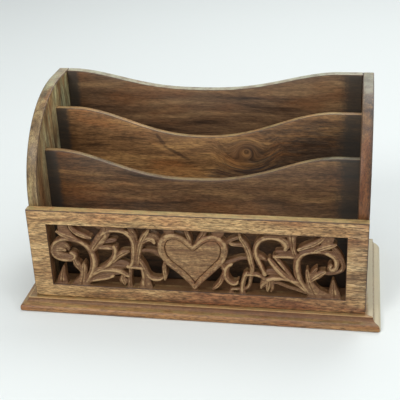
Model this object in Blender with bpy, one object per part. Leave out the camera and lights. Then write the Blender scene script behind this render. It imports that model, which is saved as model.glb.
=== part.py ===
"""Letter rack of waxed hardwood, with three slots.

A moulded base carries two sides with arched fronts, a back and two dividers with dipped tops,
and a pierced front panel carved with a heart between scrolling vines. Metres, +Z up. The origin
is on the underside of the base, at its centre: +X runs to the right of someone who faces the
carving, and +Y runs to the back.
"""
import math

import bmesh
import bpy
from mathutils import Vector

MM = 0.001

# Overall sizes of the body that stands on the base
BODY_WIDTH = 305.0 * MM
BODY_DEPTH = 135.0 * MM
GLUE_GAP = 0.3 * MM

# Base board, with a moulding on its front and its two ends: a cove above a rounded nose
BASE_THICKNESS = 10.7 * MM
BASE_SIDE_OVERHANG = 13.6 * MM
BASE_FRONT_OVERHANG = 12.0 * MM
BASE_REAR_OVERHANG = 5.0 * MM
BASE_MOULD_WIDTH = 6.8 * MM
BASE_NOSE_WIDTH = 3.4 * MM
BASE_NOSE_HEIGHT = 6.6 * MM
BASE_NOSE_SPRING = 2.6 * MM
BASE_UNDER_ROUNDING = 1.6 * MM
BASE_STEP_HEIGHT = 0.5 * MM
MOULDING_STEPS = 4
BASE_FRONT_CORNER = 2.6 * MM
BASE_INNER_CORNER = 0.6 * MM
BASE_REAR_CORNER = 7.0 * MM
CORNER_STEPS = 4

# Thicknesses of the upright boards
FRONT_THICKNESS = 9.4 * MM
SIDE_THICKNESS = 10.0 * MM
BACK_THICKNESS = 9.0 * MM
DIVIDER_THICKNESS = 6.5 * MM
EDGE_EASE = 0.7 * MM
SHARP_ANGLE = math.radians(40)

# Heights, each above the top of the base
FRONT_HEIGHT = 90.0 * MM
BACK_HEIGHT = 179.2 * MM
REAR_DIVIDER_HEIGHT = 156.0 * MM
FRONT_DIVIDER_HEIGHT = 130.8 * MM

# Slots for letters, measured from front to back
FRONT_SLOT_DEPTH = 32.4 * MM
MIDDLE_SLOT_DEPTH = 36.0 * MM

# Arched front edge of each side: a quarter of a nearly elliptical curve
ARCH_DEPTH = 98.6 * MM
ARCH_FULLNESS = 2.07
ARCH_STEPS = 18

# Dips in the top edges, sawn by eye. Each has its depth, how far its lowest place lies to the
# left of the middle, the level shoulder beside its left end, and the power of its curve.
BACK_DIP = 17.3 * MM
BACK_DIP_OFFSET = 8.9 * MM
BACK_DIP_SHOULDER = 2.6 * MM
BACK_DIP_POWER = 1.3
REAR_DIVIDER_DIP = 25.8 * MM
REAR_DIVIDER_DIP_OFFSET = 3.2 * MM
REAR_DIVIDER_DIP_SHOULDER = 15.8 * MM
REAR_DIVIDER_DIP_POWER = 1.16
FRONT_DIVIDER_DIP = 25.2 * MM
FRONT_DIVIDER_DIP_OFFSET = 4.4 * MM
FRONT_DIVIDER_DIP_SHOULDER = 8.1 * MM
FRONT_DIVIDER_DIP_POWER = 1.27
DIP_STEPS = 20

# Housings: stopped grooves in the sides that take the ends of the dividers
HOUSING_DEPTH = 3.0 * MM

# Window pierced in the front panel, measured in from the panel's edges
WINDOW_STILE = 18.2 * MM
WINDOW_SILL = 13.5 * MM
WINDOW_HEAD = 14.0 * MM

# Carving: how far its highest ridge lies under the panel's face, how much lower the deepest
# vine lies, and how high each vine is crowned along its middle
CARVING_RECESS = 0.5 * MM
CARVING_DROP = 2.6 * MM
CARVING_CROWN = 1.1 * MM
PLANING_ALLOWANCE = 3.0 * MM
VINE_STAGGERS = 7
HEART_FIELD_DEPTH_SHARE = 0.45

# Countersunk wood screws up through the base, which hold the uprights
SCREW_LENGTH = 19.0 * MM
SCREW_RADIUS = 1.5 * MM
SCREW_HEAD_RADIUS = 3.1 * MM
SCREW_HEAD_HEIGHT = 1.9 * MM
SCREW_TIP_LENGTH = 3.0 * MM
SCREW_TIP_RADIUS = 0.4 * MM
SCREW_SINK = 0.5 * MM
SCREW_SLOT_LENGTH = 4.0 * MM
SCREW_SLOT_WIDTH = 0.9 * MM
SCREW_SLOT_DEPTH = 0.8 * MM
SCREW_SIDES = 12
SCREW_END_MARGIN = 42.5 * MM

# Blind dowels between the front panel and the sides, and between the sides and the back
DOWEL_RADIUS = 2.5 * MM
DOWEL_SHORT_END = 5.0 * MM
DOWEL_LONG_END = 10.0 * MM
DOWEL_SIDES = 10
FRONT_DOWEL_HEIGHTS = (30.0 * MM, 74.0 * MM)
BACK_DOWEL_HEIGHTS = (50.0 * MM, 140.0 * MM)

CUT_OVERRUN = 2.0 * MM
MERGE_DISTANCE = 0.01 * MM

# The carving's vines and leaves. Each has a depth share (0 is the highest ridge, 1 the deepest)
# and a line of places. A place is the share of the window's half width, the share of its height,
# and the vine's width as a share of its height.
LEFT_VINE_SHARES = [
    # End scroll
    (0.15, [
        (-0.775, -0.04, 0.12), (-0.760, 0.05, 0.11), (-0.740, 0.13, 0.10), (-0.718, 0.22, 0.10),
        (-0.703, 0.31, 0.11), (-0.697, 0.41, 0.11), (-0.702, 0.50, 0.10), (-0.715, 0.58, 0.09),
        (-0.740, 0.655, 0.08), (-0.780, 0.715, 0.075), (-0.825, 0.75, 0.07), (-0.875, 0.755, 0.07),
        (-0.920, 0.735, 0.07), (-0.955, 0.69, 0.07), (-0.978, 0.62, 0.07), (-0.985, 0.54, 0.07),
        (-0.973, 0.47, 0.07), (-0.940, 0.425, 0.07), (-0.895, 0.41, 0.07), (-0.855, 0.42, 0.07),
        (-0.832, 0.455, 0.07), (-0.832, 0.50, 0.08), (-0.850, 0.525, 0.07)]),
    # Palmette upper
    (0.50, [
        (-0.975, 0.62, 0.06), (-0.945, 0.65, 0.09), (-0.915, 0.665, 0.10), (-0.890, 0.65, 0.09),
        (-0.872, 0.61, 0.06), (-0.868, 0.58, 0.03)]),
    # Palmette middle
    (0.35, [
        (-0.980, 0.56, 0.08), (-0.950, 0.575, 0.11), (-0.920, 0.585, 0.11), (-0.895, 0.57, 0.05)]),
    # Palmette lower
    (0.30, [
        (-0.975, 0.49, 0.07), (-0.945, 0.505, 0.10), (-0.915, 0.49, 0.08), (-0.880, 0.47, 0.08),
        (-0.850, 0.465, 0.05)]),
    # Beak leaf
    (0.10, [
        (-0.800, 0.745, 0.06), (-0.835, 0.785, 0.10), (-0.870, 0.81, 0.12), (-0.905, 0.84, 0.10),
        (-0.937, 0.88, 0.03)]),
    # Beak root
    (0.40, [
        (-0.855, 0.82, 0.12), (-0.878, 0.88, 0.15), (-0.893, 0.94, 0.15), (-0.890, 1.04, 0.13)]),
    # Hanging leaf
    (0.05, [
        (-0.845, 1.04, 0.05), (-0.838, 0.965, 0.06), (-0.820, 0.91, 0.08), (-0.790, 0.86, 0.09),
        (-0.752, 0.825, 0.09), (-0.722, 0.805, 0.06), (-0.702, 0.80, 0.03)]),
    # Acanthus
    (0.10, [
        (-0.690, 0.62, 0.10), (-0.665, 0.70, 0.14), (-0.640, 0.77, 0.16), (-0.615, 0.84, 0.15),
        (-0.598, 0.90, 0.14), (-0.590, 0.96, 0.14), (-0.600, 1.04, 0.14)]),
    # Arch
    (0.0, [
        (-0.630, 0.86, 0.06), (-0.600, 0.905, 0.07), (-0.560, 0.935, 0.075), (-0.515, 0.94, 0.075),
        (-0.475, 0.925, 0.075), (-0.445, 0.885, 0.075), (-0.422, 0.83, 0.08), (-0.411, 0.76, 0.085),
        (-0.408, 0.68, 0.09), (-0.410, 0.60, 0.095), (-0.413, 0.52, 0.09), (-0.420, 0.44, 0.08),
        (-0.435, 0.37, 0.06)]),
    # Arch web
    (0.75, [
        (-0.650, 0.985, 0.08), (-0.560, 0.985, 0.08), (-0.475, 0.99, 0.06)]),
    # Outer leaf
    (0.55, [
        (-0.435, 1.04, 0.08), (-0.425, 0.96, 0.09), (-0.410, 0.90, 0.08), (-0.398, 0.84, 0.07),
        (-0.392, 0.77, 0.06), (-0.392, 0.70, 0.05)]),
    # Curl leaf
    (0.75, [
        (-0.620, 0.73, 0.06), (-0.585, 0.745, 0.08), (-0.555, 0.76, 0.08), (-0.533, 0.775, 0.04)]),
    # Bridge
    (0.40, [
        (-0.700, 0.655, 0.07), (-0.660, 0.645, 0.08), (-0.610, 0.64, 0.085), (-0.565, 0.64, 0.08),
        (-0.535, 0.655, 0.05)]),
    # Rising vine
    (0.15, [
        (-0.710, 0.20, 0.05), (-0.675, 0.265, 0.06), (-0.635, 0.305, 0.07), (-0.605, 0.35, 0.075),
        (-0.580, 0.41, 0.075), (-0.558, 0.475, 0.08), (-0.545, 0.54, 0.08), (-0.540, 0.60, 0.08),
        (-0.545, 0.66, 0.06)]),
    # Vine leaf
    (0.30, [
        (-0.560, 0.42, 0.05), (-0.535, 0.48, 0.08), (-0.510, 0.53, 0.10), (-0.485, 0.565, 0.10),
        (-0.460, 0.59, 0.07), (-0.443, 0.605, 0.03)]),
    # Shadow leaf
    (0.85, [
        (-0.610, 0.325, 0.05), (-0.570, 0.345, 0.11), (-0.520, 0.36, 0.15), (-0.475, 0.355, 0.13),
        (-0.440, 0.345, 0.08)]),
    # Lower scroll
    (0.15, [
        (-0.735, 0.14, 0.05), (-0.700, 0.20, 0.06), (-0.665, 0.245, 0.065), (-0.630, 0.27, 0.065),
        (-0.585, 0.275, 0.065), (-0.540, 0.265, 0.065), (-0.505, 0.24, 0.075), (-0.480, 0.21, 0.07),
        (-0.462, 0.185, 0.04)]),
    # Lower leaf
    (0.70, [
        (-0.745, 0.10, 0.06), (-0.690, 0.155, 0.10), (-0.630, 0.20, 0.11), (-0.575, 0.215, 0.09),
        (-0.530, 0.215, 0.05)]),
    # Lower stem
    (0.30, [
        (-0.765, 0.05, 0.06), (-0.710, 0.085, 0.06), (-0.655, 0.11, 0.065), (-0.605, 0.14, 0.065),
        (-0.570, 0.17, 0.04)]),
    # Bud
    (0.10, [
        (-0.490, 0.21, 0.06), (-0.500, 0.165, 0.08), (-0.500, 0.12, 0.13), (-0.492, 0.08, 0.10),
        (-0.490, 0.05, 0.03)]),
    # Knob
    (0.20, [
        (-0.460, 0.345, 0.05), (-0.430, 0.345, 0.075), (-0.395, 0.345, 0.09), (-0.370, 0.335, 0.08),
        (-0.358, 0.325, 0.03)]),
    # Outer post
    (0.50, [
        (-0.445, 0.36, 0.06), (-0.447, 0.25, 0.055), (-0.455, 0.14, 0.06), (-0.460, -0.04, 0.09)]),
    # Inner post
    (0.30, [
        (-0.365, 0.34, 0.06), (-0.355, 0.25, 0.08), (-0.353, 0.16, 0.08), (-0.360, 0.08, 0.10),
        (-0.360, -0.04, 0.16)]),
    # Tall leaf
    (0.10, [
        (-0.395, 0.38, 0.05), (-0.390, 0.46, 0.07), (-0.383, 0.55, 0.08), (-0.375, 0.63, 0.08),
        (-0.365, 0.71, 0.085), (-0.352, 0.78, 0.09), (-0.336, 0.85, 0.09), (-0.317, 0.915, 0.06),
        (-0.300, 0.975, 0.035), (-0.295, 1.04, 0.03)]),
    # Claw
    (0.05, [
        (-0.350, 0.76, 0.06), (-0.325, 0.80, 0.08), (-0.300, 0.82, 0.085), (-0.278, 0.805, 0.075),
        (-0.265, 0.77, 0.04)]),
    # Shoulder leaf
    (0.60, [
        (-0.320, 0.91, 0.05), (-0.290, 0.885, 0.06), (-0.262, 0.86, 0.07), (-0.242, 0.81, 0.07),
        (-0.235, 0.75, 0.05)]),
    # Cross vine
    (0.90, [
        (-0.225, 0.53, 0.07), (-0.255, 0.585, 0.09), (-0.290, 0.615, 0.07), (-0.330, 0.62, 0.06),
        (-0.375, 0.60, 0.05)]),
    # Inner scroll
    (0.35, [
        (-0.385, 0.50, 0.05), (-0.365, 0.42, 0.07), (-0.345, 0.34, 0.07), (-0.333, 0.26, 0.065),
        (-0.315, 0.19, 0.07), (-0.285, 0.155, 0.08), (-0.250, 0.155, 0.07), (-0.222, 0.19, 0.04)]),
    # Scroll foot
    (0.50, [
        (-0.330, 0.18, 0.07), (-0.330, 0.08, 0.10), (-0.330, -0.04, 0.16)]),
    # Drop leaf
    (0.10, [
        (-0.200, 0.45, 0.05), (-0.208, 0.38, 0.065), (-0.207, 0.30, 0.07), (-0.204, 0.23, 0.07),
        (-0.207, 0.17, 0.03)]),
    # Scalloped leaf
    (0.05, [
        (-0.800, -0.04, 0.22), (-0.795, 0.04, 0.18), (-0.785, 0.12, 0.12), (-0.778, 0.20, 0.11),
        (-0.775, 0.27, 0.11), (-0.770, 0.33, 0.08), (-0.768, 0.37, 0.03)]),
    # Scallop
    (0.05, [
        (-0.785, 0.22, 0.07), (-0.800, 0.28, 0.09), (-0.818, 0.335, 0.11), (-0.828, 0.38, 0.08),
        (-0.832, 0.43, 0.05)]),
    # Leaf foot
    (0.40, [
        (-0.790, 0.07, 0.10), (-0.830, 0.02, 0.10), (-0.860, -0.04, 0.08)]),
    # Sprout
    (0.60, [
        (-0.940, -0.04, 0.17), (-0.940, 0.05, 0.15), (-0.935, 0.13, 0.11), (-0.926, 0.21, 0.07),
        (-0.917, 0.29, 0.03)]),
]

# Two halves of the heart's border, each from its tip to its cleft, on the highest level
HEART_LEFT_SHARES = [
    (-0.005, 0.06, 0.06), (-0.030, 0.155, 0.085), (-0.070, 0.255, 0.09), (-0.110, 0.34, 0.09),
    (-0.150, 0.41, 0.095), (-0.182, 0.48, 0.095), (-0.206, 0.56, 0.095), (-0.218, 0.64, 0.10),
    (-0.220, 0.72, 0.10), (-0.209, 0.80, 0.095), (-0.183, 0.86, 0.09), (-0.147, 0.89, 0.085),
    (-0.110, 0.885, 0.08), (-0.075, 0.85, 0.08), (-0.040, 0.785, 0.075), (-0.010, 0.715, 0.07),
]

HEART_RIGHT_SHARES = [
    (-0.005, 0.06, 0.06), (0.035, 0.175, 0.08), (0.070, 0.26, 0.085), (0.105, 0.34, 0.09),
    (0.140, 0.42, 0.09), (0.170, 0.49, 0.09), (0.192, 0.57, 0.09), (0.203, 0.65, 0.095),
    (0.205, 0.73, 0.095), (0.195, 0.80, 0.095), (0.170, 0.86, 0.09), (0.135, 0.89, 0.085),
    (0.100, 0.88, 0.08), (0.065, 0.845, 0.08), (0.030, 0.78, 0.075), (-0.005, 0.71, 0.07),
]

# What joins the heart to the sill and to the head of the window
HEART_SUPPORT_SHARES = [
    # Foot
    (0.50, [(-0.005, 0.12, 0.06), (-0.005, -0.04, 0.10)]),
    # Valley leaf left
    (0.20, [
        (-0.020, 0.80, 0.05), (-0.030, 0.87, 0.065), (-0.042, 0.94, 0.065), (-0.050, 1.04, 0.07)]),
    # Valley leaf right
    (0.30, [
        (0.020, 0.79, 0.05), (0.045, 0.87, 0.08), (0.068, 0.94, 0.09), (0.080, 1.04, 0.10)]),
    # Shoulder web left
    (0.70, [
        (-0.160, 0.89, 0.10), (-0.163, 0.96, 0.16), (-0.165, 1.04, 0.18)]),
    # Shoulder web right
    (0.60, [
        (0.150, 0.89, 0.10), (0.160, 0.96, 0.18), (0.165, 1.04, 0.20)]),
]

RIGHT_VINE_SHARES = [
    # End scroll
    (0.15, [
        (0.805, -0.04, 0.12), (0.775, 0.05, 0.10), (0.745, 0.12, 0.09), (0.720, 0.19, 0.085),
        (0.700, 0.27, 0.09), (0.687, 0.36, 0.10), (0.680, 0.45, 0.10), (0.680, 0.54, 0.10),
        (0.690, 0.62, 0.09), (0.713, 0.685, 0.08), (0.750, 0.725, 0.075), (0.800, 0.745, 0.07),
        (0.850, 0.74, 0.07), (0.885, 0.715, 0.06)]),
    # Outer ring
    (0.60, [
        (0.850, 0.745, 0.06), (0.910, 0.72, 0.07), (0.945, 0.67, 0.07), (0.970, 0.60, 0.07),
        (0.980, 0.53, 0.07), (0.970, 0.46, 0.07), (0.935, 0.42, 0.065), (0.890, 0.40, 0.065),
        (0.845, 0.405, 0.05)]),
    # Volute
    (0.0, [
        (0.875, 0.725, 0.05), (0.912, 0.68, 0.065), (0.932, 0.62, 0.075), (0.937, 0.56, 0.08),
        (0.930, 0.50, 0.075), (0.908, 0.465, 0.07), (0.892, 0.495, 0.06), (0.900, 0.54, 0.06)]),
    # Hanging leaf
    (0.10, [
        (0.690, 0.765, 0.04), (0.725, 0.80, 0.07), (0.765, 0.835, 0.09), (0.800, 0.875, 0.09),
        (0.830, 0.925, 0.08), (0.850, 0.98, 0.06), (0.860, 1.04, 0.05)]),
    # Under leaf
    (0.50, [
        (0.700, 0.735, 0.05), (0.750, 0.775, 0.08), (0.800, 0.80, 0.09), (0.840, 0.80, 0.08)]),
    # Beak leaf
    (0.05, [
        (0.800, 0.755, 0.06), (0.840, 0.80, 0.10), (0.880, 0.835, 0.10), (0.910, 0.855, 0.07),
        (0.930, 0.875, 0.03)]),
    # Beak root
    (0.40, [
        (0.850, 0.81, 0.10), (0.868, 0.88, 0.14), (0.882, 0.95, 0.15), (0.885, 1.04, 0.14)]),
    # Fall leaf
    (0.70, [
        (0.905, 0.83, 0.05), (0.925, 0.77, 0.08), (0.950, 0.70, 0.08), (0.975, 0.63, 0.05)]),
    # Acanthus
    (0.35, [
        (0.685, 0.60, 0.08), (0.665, 0.68, 0.09), (0.655, 0.76, 0.09), (0.650, 0.84, 0.10),
        (0.645, 0.92, 0.12), (0.645, 1.04, 0.16)]),
    # Arch
    (0.0, [
        (0.470, 0.335, 0.05), (0.458, 0.40, 0.06), (0.445, 0.47, 0.07), (0.430, 0.54, 0.075),
        (0.417, 0.61, 0.08), (0.410, 0.68, 0.08), (0.410, 0.75, 0.075), (0.420, 0.82, 0.075),
        (0.440, 0.88, 0.075), (0.472, 0.92, 0.075), (0.515, 0.935, 0.075), (0.555, 0.925, 0.08),
        (0.585, 0.895, 0.10), (0.603, 0.85, 0.115), (0.610, 0.80, 0.10), (0.605, 0.76, 0.05)]),
    # Arch web
    (0.75, [
        (0.460, 0.99, 0.05), (0.520, 0.985, 0.08), (0.600, 0.98, 0.08), (0.660, 0.985, 0.10)]),
    # Arch leaf
    (0.50, [
        (0.410, 0.65, 0.06), (0.435, 0.62, 0.07), (0.460, 0.59, 0.06), (0.480, 0.565, 0.03)]),
    # Curl leaf
    (0.75, [
        (0.548, 0.70, 0.05), (0.580, 0.70, 0.075), (0.620, 0.70, 0.07), (0.660, 0.70, 0.06)]),
    # Bridge
    (0.40, [
        (0.530, 0.625, 0.04), (0.560, 0.635, 0.06), (0.600, 0.64, 0.07), (0.640, 0.64, 0.07),
        (0.680, 0.63, 0.06)]),
    # Rising vine
    (0.10, [
        (0.500, 0.59, 0.05), (0.515, 0.54, 0.08), (0.535, 0.48, 0.085), (0.560, 0.415, 0.085),
        (0.590, 0.345, 0.085), (0.625, 0.285, 0.08), (0.665, 0.235, 0.075), (0.705, 0.175, 0.07),
        (0.740, 0.11, 0.06)]),
    # Twin vine
    (0.50, [
        (0.530, 0.64, 0.04), (0.548, 0.59, 0.06), (0.570, 0.53, 0.065), (0.594, 0.46, 0.06),
        (0.620, 0.385, 0.055), (0.645, 0.31, 0.05), (0.670, 0.25, 0.04)]),
    # Shadow leaf
    (0.85, [
        (0.460, 0.335, 0.05), (0.490, 0.355, 0.10), (0.530, 0.36, 0.12), (0.575, 0.35, 0.08)]),
    # Lower scroll
    (0.10, [
        (0.690, 0.235, 0.04), (0.650, 0.255, 0.055), (0.600, 0.275, 0.06), (0.550, 0.275, 0.065),
        (0.505, 0.255, 0.09), (0.475, 0.21, 0.12), (0.455, 0.16, 0.09), (0.445, 0.12, 0.03)]),
    # Bud
    (0.05, [
        (0.495, 0.25, 0.06), (0.495, 0.19, 0.10), (0.490, 0.13, 0.08), (0.488, 0.08, 0.03)]),
    # Lower leaf
    (0.60, [
        (0.520, 0.20, 0.04), (0.555, 0.20, 0.055), (0.590, 0.175, 0.05), (0.630, 0.14, 0.05),
        (0.680, 0.11, 0.06), (0.740, 0.07, 0.08)]),
    # Spur
    (0.50, [
        (0.515, 0.24, 0.04), (0.522, 0.17, 0.045), (0.520, 0.11, 0.045), (0.512, 0.06, 0.03)]),
    # Knob
    (0.20, [
        (0.335, 0.315, 0.05), (0.375, 0.325, 0.07), (0.415, 0.325, 0.075), (0.445, 0.30, 0.06),
        (0.465, 0.265, 0.05)]),
    # Inner post
    (0.15, [
        (0.350, 0.34, 0.06), (0.335, 0.27, 0.07), (0.325, 0.19, 0.075), (0.320, 0.11, 0.07),
        (0.320, -0.04, 0.10)]),
    # Hook
    (0.40, [
        (0.380, 0.33, 0.05), (0.375, 0.25, 0.055), (0.370, 0.17, 0.055), (0.355, 0.10, 0.055),
        (0.325, 0.07, 0.05), (0.285, 0.065, 0.045), (0.250, 0.05, 0.06), (0.240, -0.04, 0.09)]),
    # Tall leaf
    (0.10, [
        (0.385, 0.36, 0.06), (0.388, 0.44, 0.075), (0.380, 0.52, 0.085), (0.373, 0.60, 0.095),
        (0.365, 0.68, 0.095), (0.352, 0.76, 0.09), (0.335, 0.83, 0.08), (0.317, 0.89, 0.055),
        (0.308, 0.95, 0.035), (0.305, 1.04, 0.03)]),
    # Claw
    (0.20, [
        (0.345, 0.78, 0.06), (0.315, 0.795, 0.06), (0.285, 0.795, 0.055), (0.260, 0.80, 0.05),
        (0.243, 0.81, 0.03)]),
    # Shoulder leaf
    (0.60, [
        (0.310, 0.92, 0.04), (0.280, 0.89, 0.055), (0.250, 0.86, 0.06), (0.225, 0.82, 0.06),
        (0.210, 0.77, 0.05)]),
    # Cross vine
    (0.80, [
        (0.195, 0.485, 0.06), (0.235, 0.50, 0.07), (0.275, 0.535, 0.07), (0.315, 0.57, 0.06),
        (0.360, 0.58, 0.05)]),
    # Inner scroll
    (0.10, [
        (0.250, 0.475, 0.03), (0.230, 0.445, 0.06), (0.213, 0.39, 0.085), (0.206, 0.32, 0.09),
        (0.212, 0.25, 0.09), (0.230, 0.19, 0.08), (0.255, 0.155, 0.075), (0.280, 0.165, 0.06),
        (0.290, 0.20, 0.03)]),
    # Scroll root
    (0.30, [
        (0.160, 0.49, 0.06), (0.188, 0.44, 0.08), (0.200, 0.38, 0.08)]),
    # Drop leaf
    (0.05, [
        (0.195, 0.32, 0.04), (0.187, 0.26, 0.06), (0.177, 0.19, 0.07), (0.160, 0.13, 0.07),
        (0.140, 0.085, 0.06), (0.122, 0.06, 0.03)]),
    # Scalloped leaf
    (0.10, [
        (0.815, -0.04, 0.26), (0.800, 0.05, 0.22), (0.785, 0.13, 0.16), (0.770, 0.20, 0.12),
        (0.762, 0.27, 0.10), (0.755, 0.34, 0.08), (0.750, 0.40, 0.06), (0.748, 0.45, 0.03)]),
    # Scallop
    (0.05, [
        (0.770, 0.27, 0.07), (0.795, 0.32, 0.09), (0.820, 0.36, 0.10), (0.842, 0.40, 0.09),
        (0.862, 0.425, 0.05)]),
    # Scallop upper
    (0.30, [
        (0.765, 0.33, 0.06), (0.785, 0.39, 0.07), (0.800, 0.44, 0.06), (0.810, 0.475, 0.03)]),
    # Leaf foot
    (0.40, [
        (0.790, 0.11, 0.10), (0.830, 0.07, 0.11), (0.870, 0.03, 0.10), (0.910, -0.04, 0.08)]),
    # Sprout
    (0.60, [
        (0.927, -0.04, 0.20), (0.927, 0.05, 0.17), (0.923, 0.13, 0.12), (0.920, 0.20, 0.08),
        (0.918, 0.28, 0.03)]),
]

# Places worked out from the sizes above
BASE_LENGTH = BODY_WIDTH + 2 * BASE_SIDE_OVERHANG
BASE_DEPTH = BODY_DEPTH + BASE_FRONT_OVERHANG + BASE_REAR_OVERHANG
SEAT_Z = BASE_THICKNESS + GLUE_GAP
BODY_FRONT_Y = BASE_FRONT_OVERHANG - BASE_DEPTH / 2
BODY_REAR_Y = BODY_FRONT_Y + BODY_DEPTH
FRONT_REAR_Y = BODY_FRONT_Y + FRONT_THICKNESS
BACK_FRONT_Y = BODY_REAR_Y - BACK_THICKNESS
FRONT_DIVIDER_Y = FRONT_REAR_Y + FRONT_SLOT_DEPTH
REAR_DIVIDER_Y = FRONT_DIVIDER_Y + DIVIDER_THICKNESS + MIDDLE_SLOT_DEPTH
SIDE_INNER_X = BODY_WIDTH / 2 - SIDE_THICKNESS
SIDE_MIDDLE_X = BODY_WIDTH / 2 - SIDE_THICKNESS / 2
DIVIDER_END_X = SIDE_INNER_X + HOUSING_DEPTH - GLUE_GAP
BACK_END_X = SIDE_INNER_X - GLUE_GAP
BACK_MIDDLE_Y = (BACK_FRONT_Y + BODY_REAR_Y) / 2
WINDOW_HALF_WIDTH = BODY_WIDTH / 2 - WINDOW_STILE
WINDOW_BOTTOM_Z = BASE_THICKNESS + WINDOW_SILL
WINDOW_HEIGHT = FRONT_HEIGHT - WINDOW_SILL - WINDOW_HEAD


def clear_scene():
    for thing in list(bpy.data.objects):
        bpy.data.objects.remove(thing, do_unlink=True)


def finish_material(name, colour, roughness, metallic=0.0):
    material = bpy.data.materials.new(name)
    material.use_nodes = True
    shader = material.node_tree.nodes["Principled BSDF"]
    shader.inputs["Base Color"].default_value = (*colour, 1.0)
    shader.inputs["Roughness"].default_value = roughness
    shader.inputs["Metallic"].default_value = metallic
    return material


def add_object(name, shape, material=None):
    """Turn a finished bmesh into an object."""
    bmesh.ops.recalc_face_normals(shape, faces=shape.faces)
    mesh = bpy.data.meshes.new(name)
    shape.to_mesh(mesh)
    shape.free()
    if material:
        mesh.materials.append(material)
    thing = bpy.data.objects.new(name, mesh)
    bpy.context.scene.collection.objects.link(thing)
    return thing


def add_boolean(target, operation, tools):
    group = bpy.data.collections.new(f"{target.name}_{operation.lower()}_{len(target.modifiers)}")
    for tool in tools:
        tool.hide_render = True
        tool.display_type = "WIRE"
        group.objects.link(tool)
    step = target.modifiers.new(operation.title(), "BOOLEAN")
    step.operation = operation
    step.solver = "EXACT"
    step.operand_type = "COLLECTION"
    step.collection = group


def lofted(name, rings, material=None):
    """A closed solid through rings of points, with its first and last ring filled."""
    shape = bmesh.new()
    loops = [[shape.verts.new(point) for point in ring] for ring in rings]
    for low, high in zip(loops, loops[1:]):
        for index, corner in enumerate(low):
            beside = (index + 1) % len(low)
            shape.faces.new((corner, low[beside], high[beside], high[index]))
    shape.faces.new(loops[0])
    shape.faces.new(loops[-1])
    return add_object(name, shape, material)


def box_tool(name, low, high):
    size = Vector(high) - Vector(low)
    shape = bmesh.new()
    bmesh.ops.create_cube(shape, size=1)
    bmesh.ops.scale(shape, vec=size, verts=shape.verts)
    bmesh.ops.translate(shape, vec=Vector(low) + size / 2, verts=shape.verts)
    return add_object(name, shape)


def turned(name, start, axis, profile, sides, material=None):
    """A round solid spun about an axis. The profile holds places along it with their radii."""
    start = Vector(start)
    along = Vector(axis)
    out = along.orthogonal().normalized()
    closed_profile = [(profile[0][0], 0), *profile, (profile[-1][0], 0)]
    shape = bmesh.new()
    corners = [shape.verts.new(start + along * distance + out * radius)
               for distance, radius in closed_profile]
    edges = [shape.edges.new(pair) for pair in zip(corners, corners[1:])]
    bmesh.ops.spin(shape, geom=corners + edges, cent=start, axis=along, angle=math.tau,
                   steps=sides, use_merge=True)
    bmesh.ops.remove_doubles(shape, verts=shape.verts, dist=MERGE_DISTANCE)
    thing = add_object(name, shape, material)
    thing.data.shade_smooth()
    thing.data.set_sharp_from_angle(angle=SHARP_ANGLE)
    return thing


def board(name, outline, sweep, material):
    """A flat board: its outline pushed through its thickness, with every arris eased."""
    shape = bmesh.new()
    face = shape.faces.new([shape.verts.new(point) for point in outline])
    pushed = bmesh.ops.extrude_face_region(shape, geom=[face], use_keep_orig=True)
    moved = [corner for corner in pushed["geom"] if isinstance(corner, bmesh.types.BMVert)]
    bmesh.ops.translate(shape, vec=sweep, verts=moved)
    thing = add_object(name, shape, material)
    ease = thing.modifiers.new("Ease", "BEVEL")
    ease.width = EDGE_EASE
    ease.segments = 1
    ease.limit_method = "ANGLE"
    ease.angle_limit = SHARP_ANGLE
    return thing


def dip_outline(half_length, height, dip, offset, shoulder, power):
    """Front view of a board whose top is level at its ends and dips smoothly between them."""
    top = SEAT_Z + height - GLUE_GAP
    reach = SIDE_INNER_X - offset - shoulder
    outline = [(-half_length, SEAT_Z), (half_length, SEAT_Z), (half_length, top)]
    for index in range(DIP_STEPS + 1):
        place_share = 1 - 2 * index / DIP_STEPS
        rise_share = (1 - math.cos(math.pi * abs(place_share) ** power)) / 2
        outline.append((reach * place_share - offset, top - dip * (1 - rise_share)))
    outline.append((-half_length, top))
    return outline


def side_outline():
    """Side view, in Y and Z: upright at the panel, arched over the slots, level at the back."""
    top = SEAT_Z + BACK_HEIGHT - GLUE_GAP
    spring = BASE_THICKNESS + FRONT_HEIGHT
    front = FRONT_REAR_Y + GLUE_GAP
    outline = [(front, SEAT_Z), (BODY_REAR_Y, SEAT_Z), (BODY_REAR_Y, top)]
    for index in range(ARCH_STEPS + 1):
        angle = math.pi / 2 * index / ARCH_STEPS
        forward_share = math.sin(angle) ** (2 / ARCH_FULLNESS)
        upward_share = max(math.cos(angle), 0) ** (2 / ARCH_FULLNESS)
        outline.append((front + ARCH_DEPTH * (1 - forward_share),
                        spring + (top - spring) * upward_share))
    return outline


def base_ring(inwards, height):
    """One level of the base. The moulding runs along the front and the ends, not the back."""
    half = BASE_LENGTH / 2 - inwards
    front = -BASE_DEPTH / 2 + inwards
    rear = BASE_DEPTH / 2
    corner = max(BASE_FRONT_CORNER - inwards, BASE_INNER_CORNER)
    ring = []
    for side, centre in ((1, math.pi * 7 / 4), (-1, math.pi * 5 / 4)):
        for turn in (-1, 0, 1):
            angle = centre - turn * math.pi / 4
            x = side * (half - corner) + corner * math.cos(angle)
            y = front + corner * (1 + math.sin(angle))
            ring.append((x, y, height))
    across = BASE_REAR_CORNER - inwards
    for side in (-1, 1):
        for turn in range(CORNER_STEPS + 1):
            angle = math.pi / 2 * (turn if side < 0 else CORNER_STEPS - turn) / CORNER_STEPS
            x = side * (half - across * (1 - math.cos(angle)))
            y = rear - BASE_REAR_CORNER * (1 - math.sin(angle))
            ring.append((x, y, height))
    return ring


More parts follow.
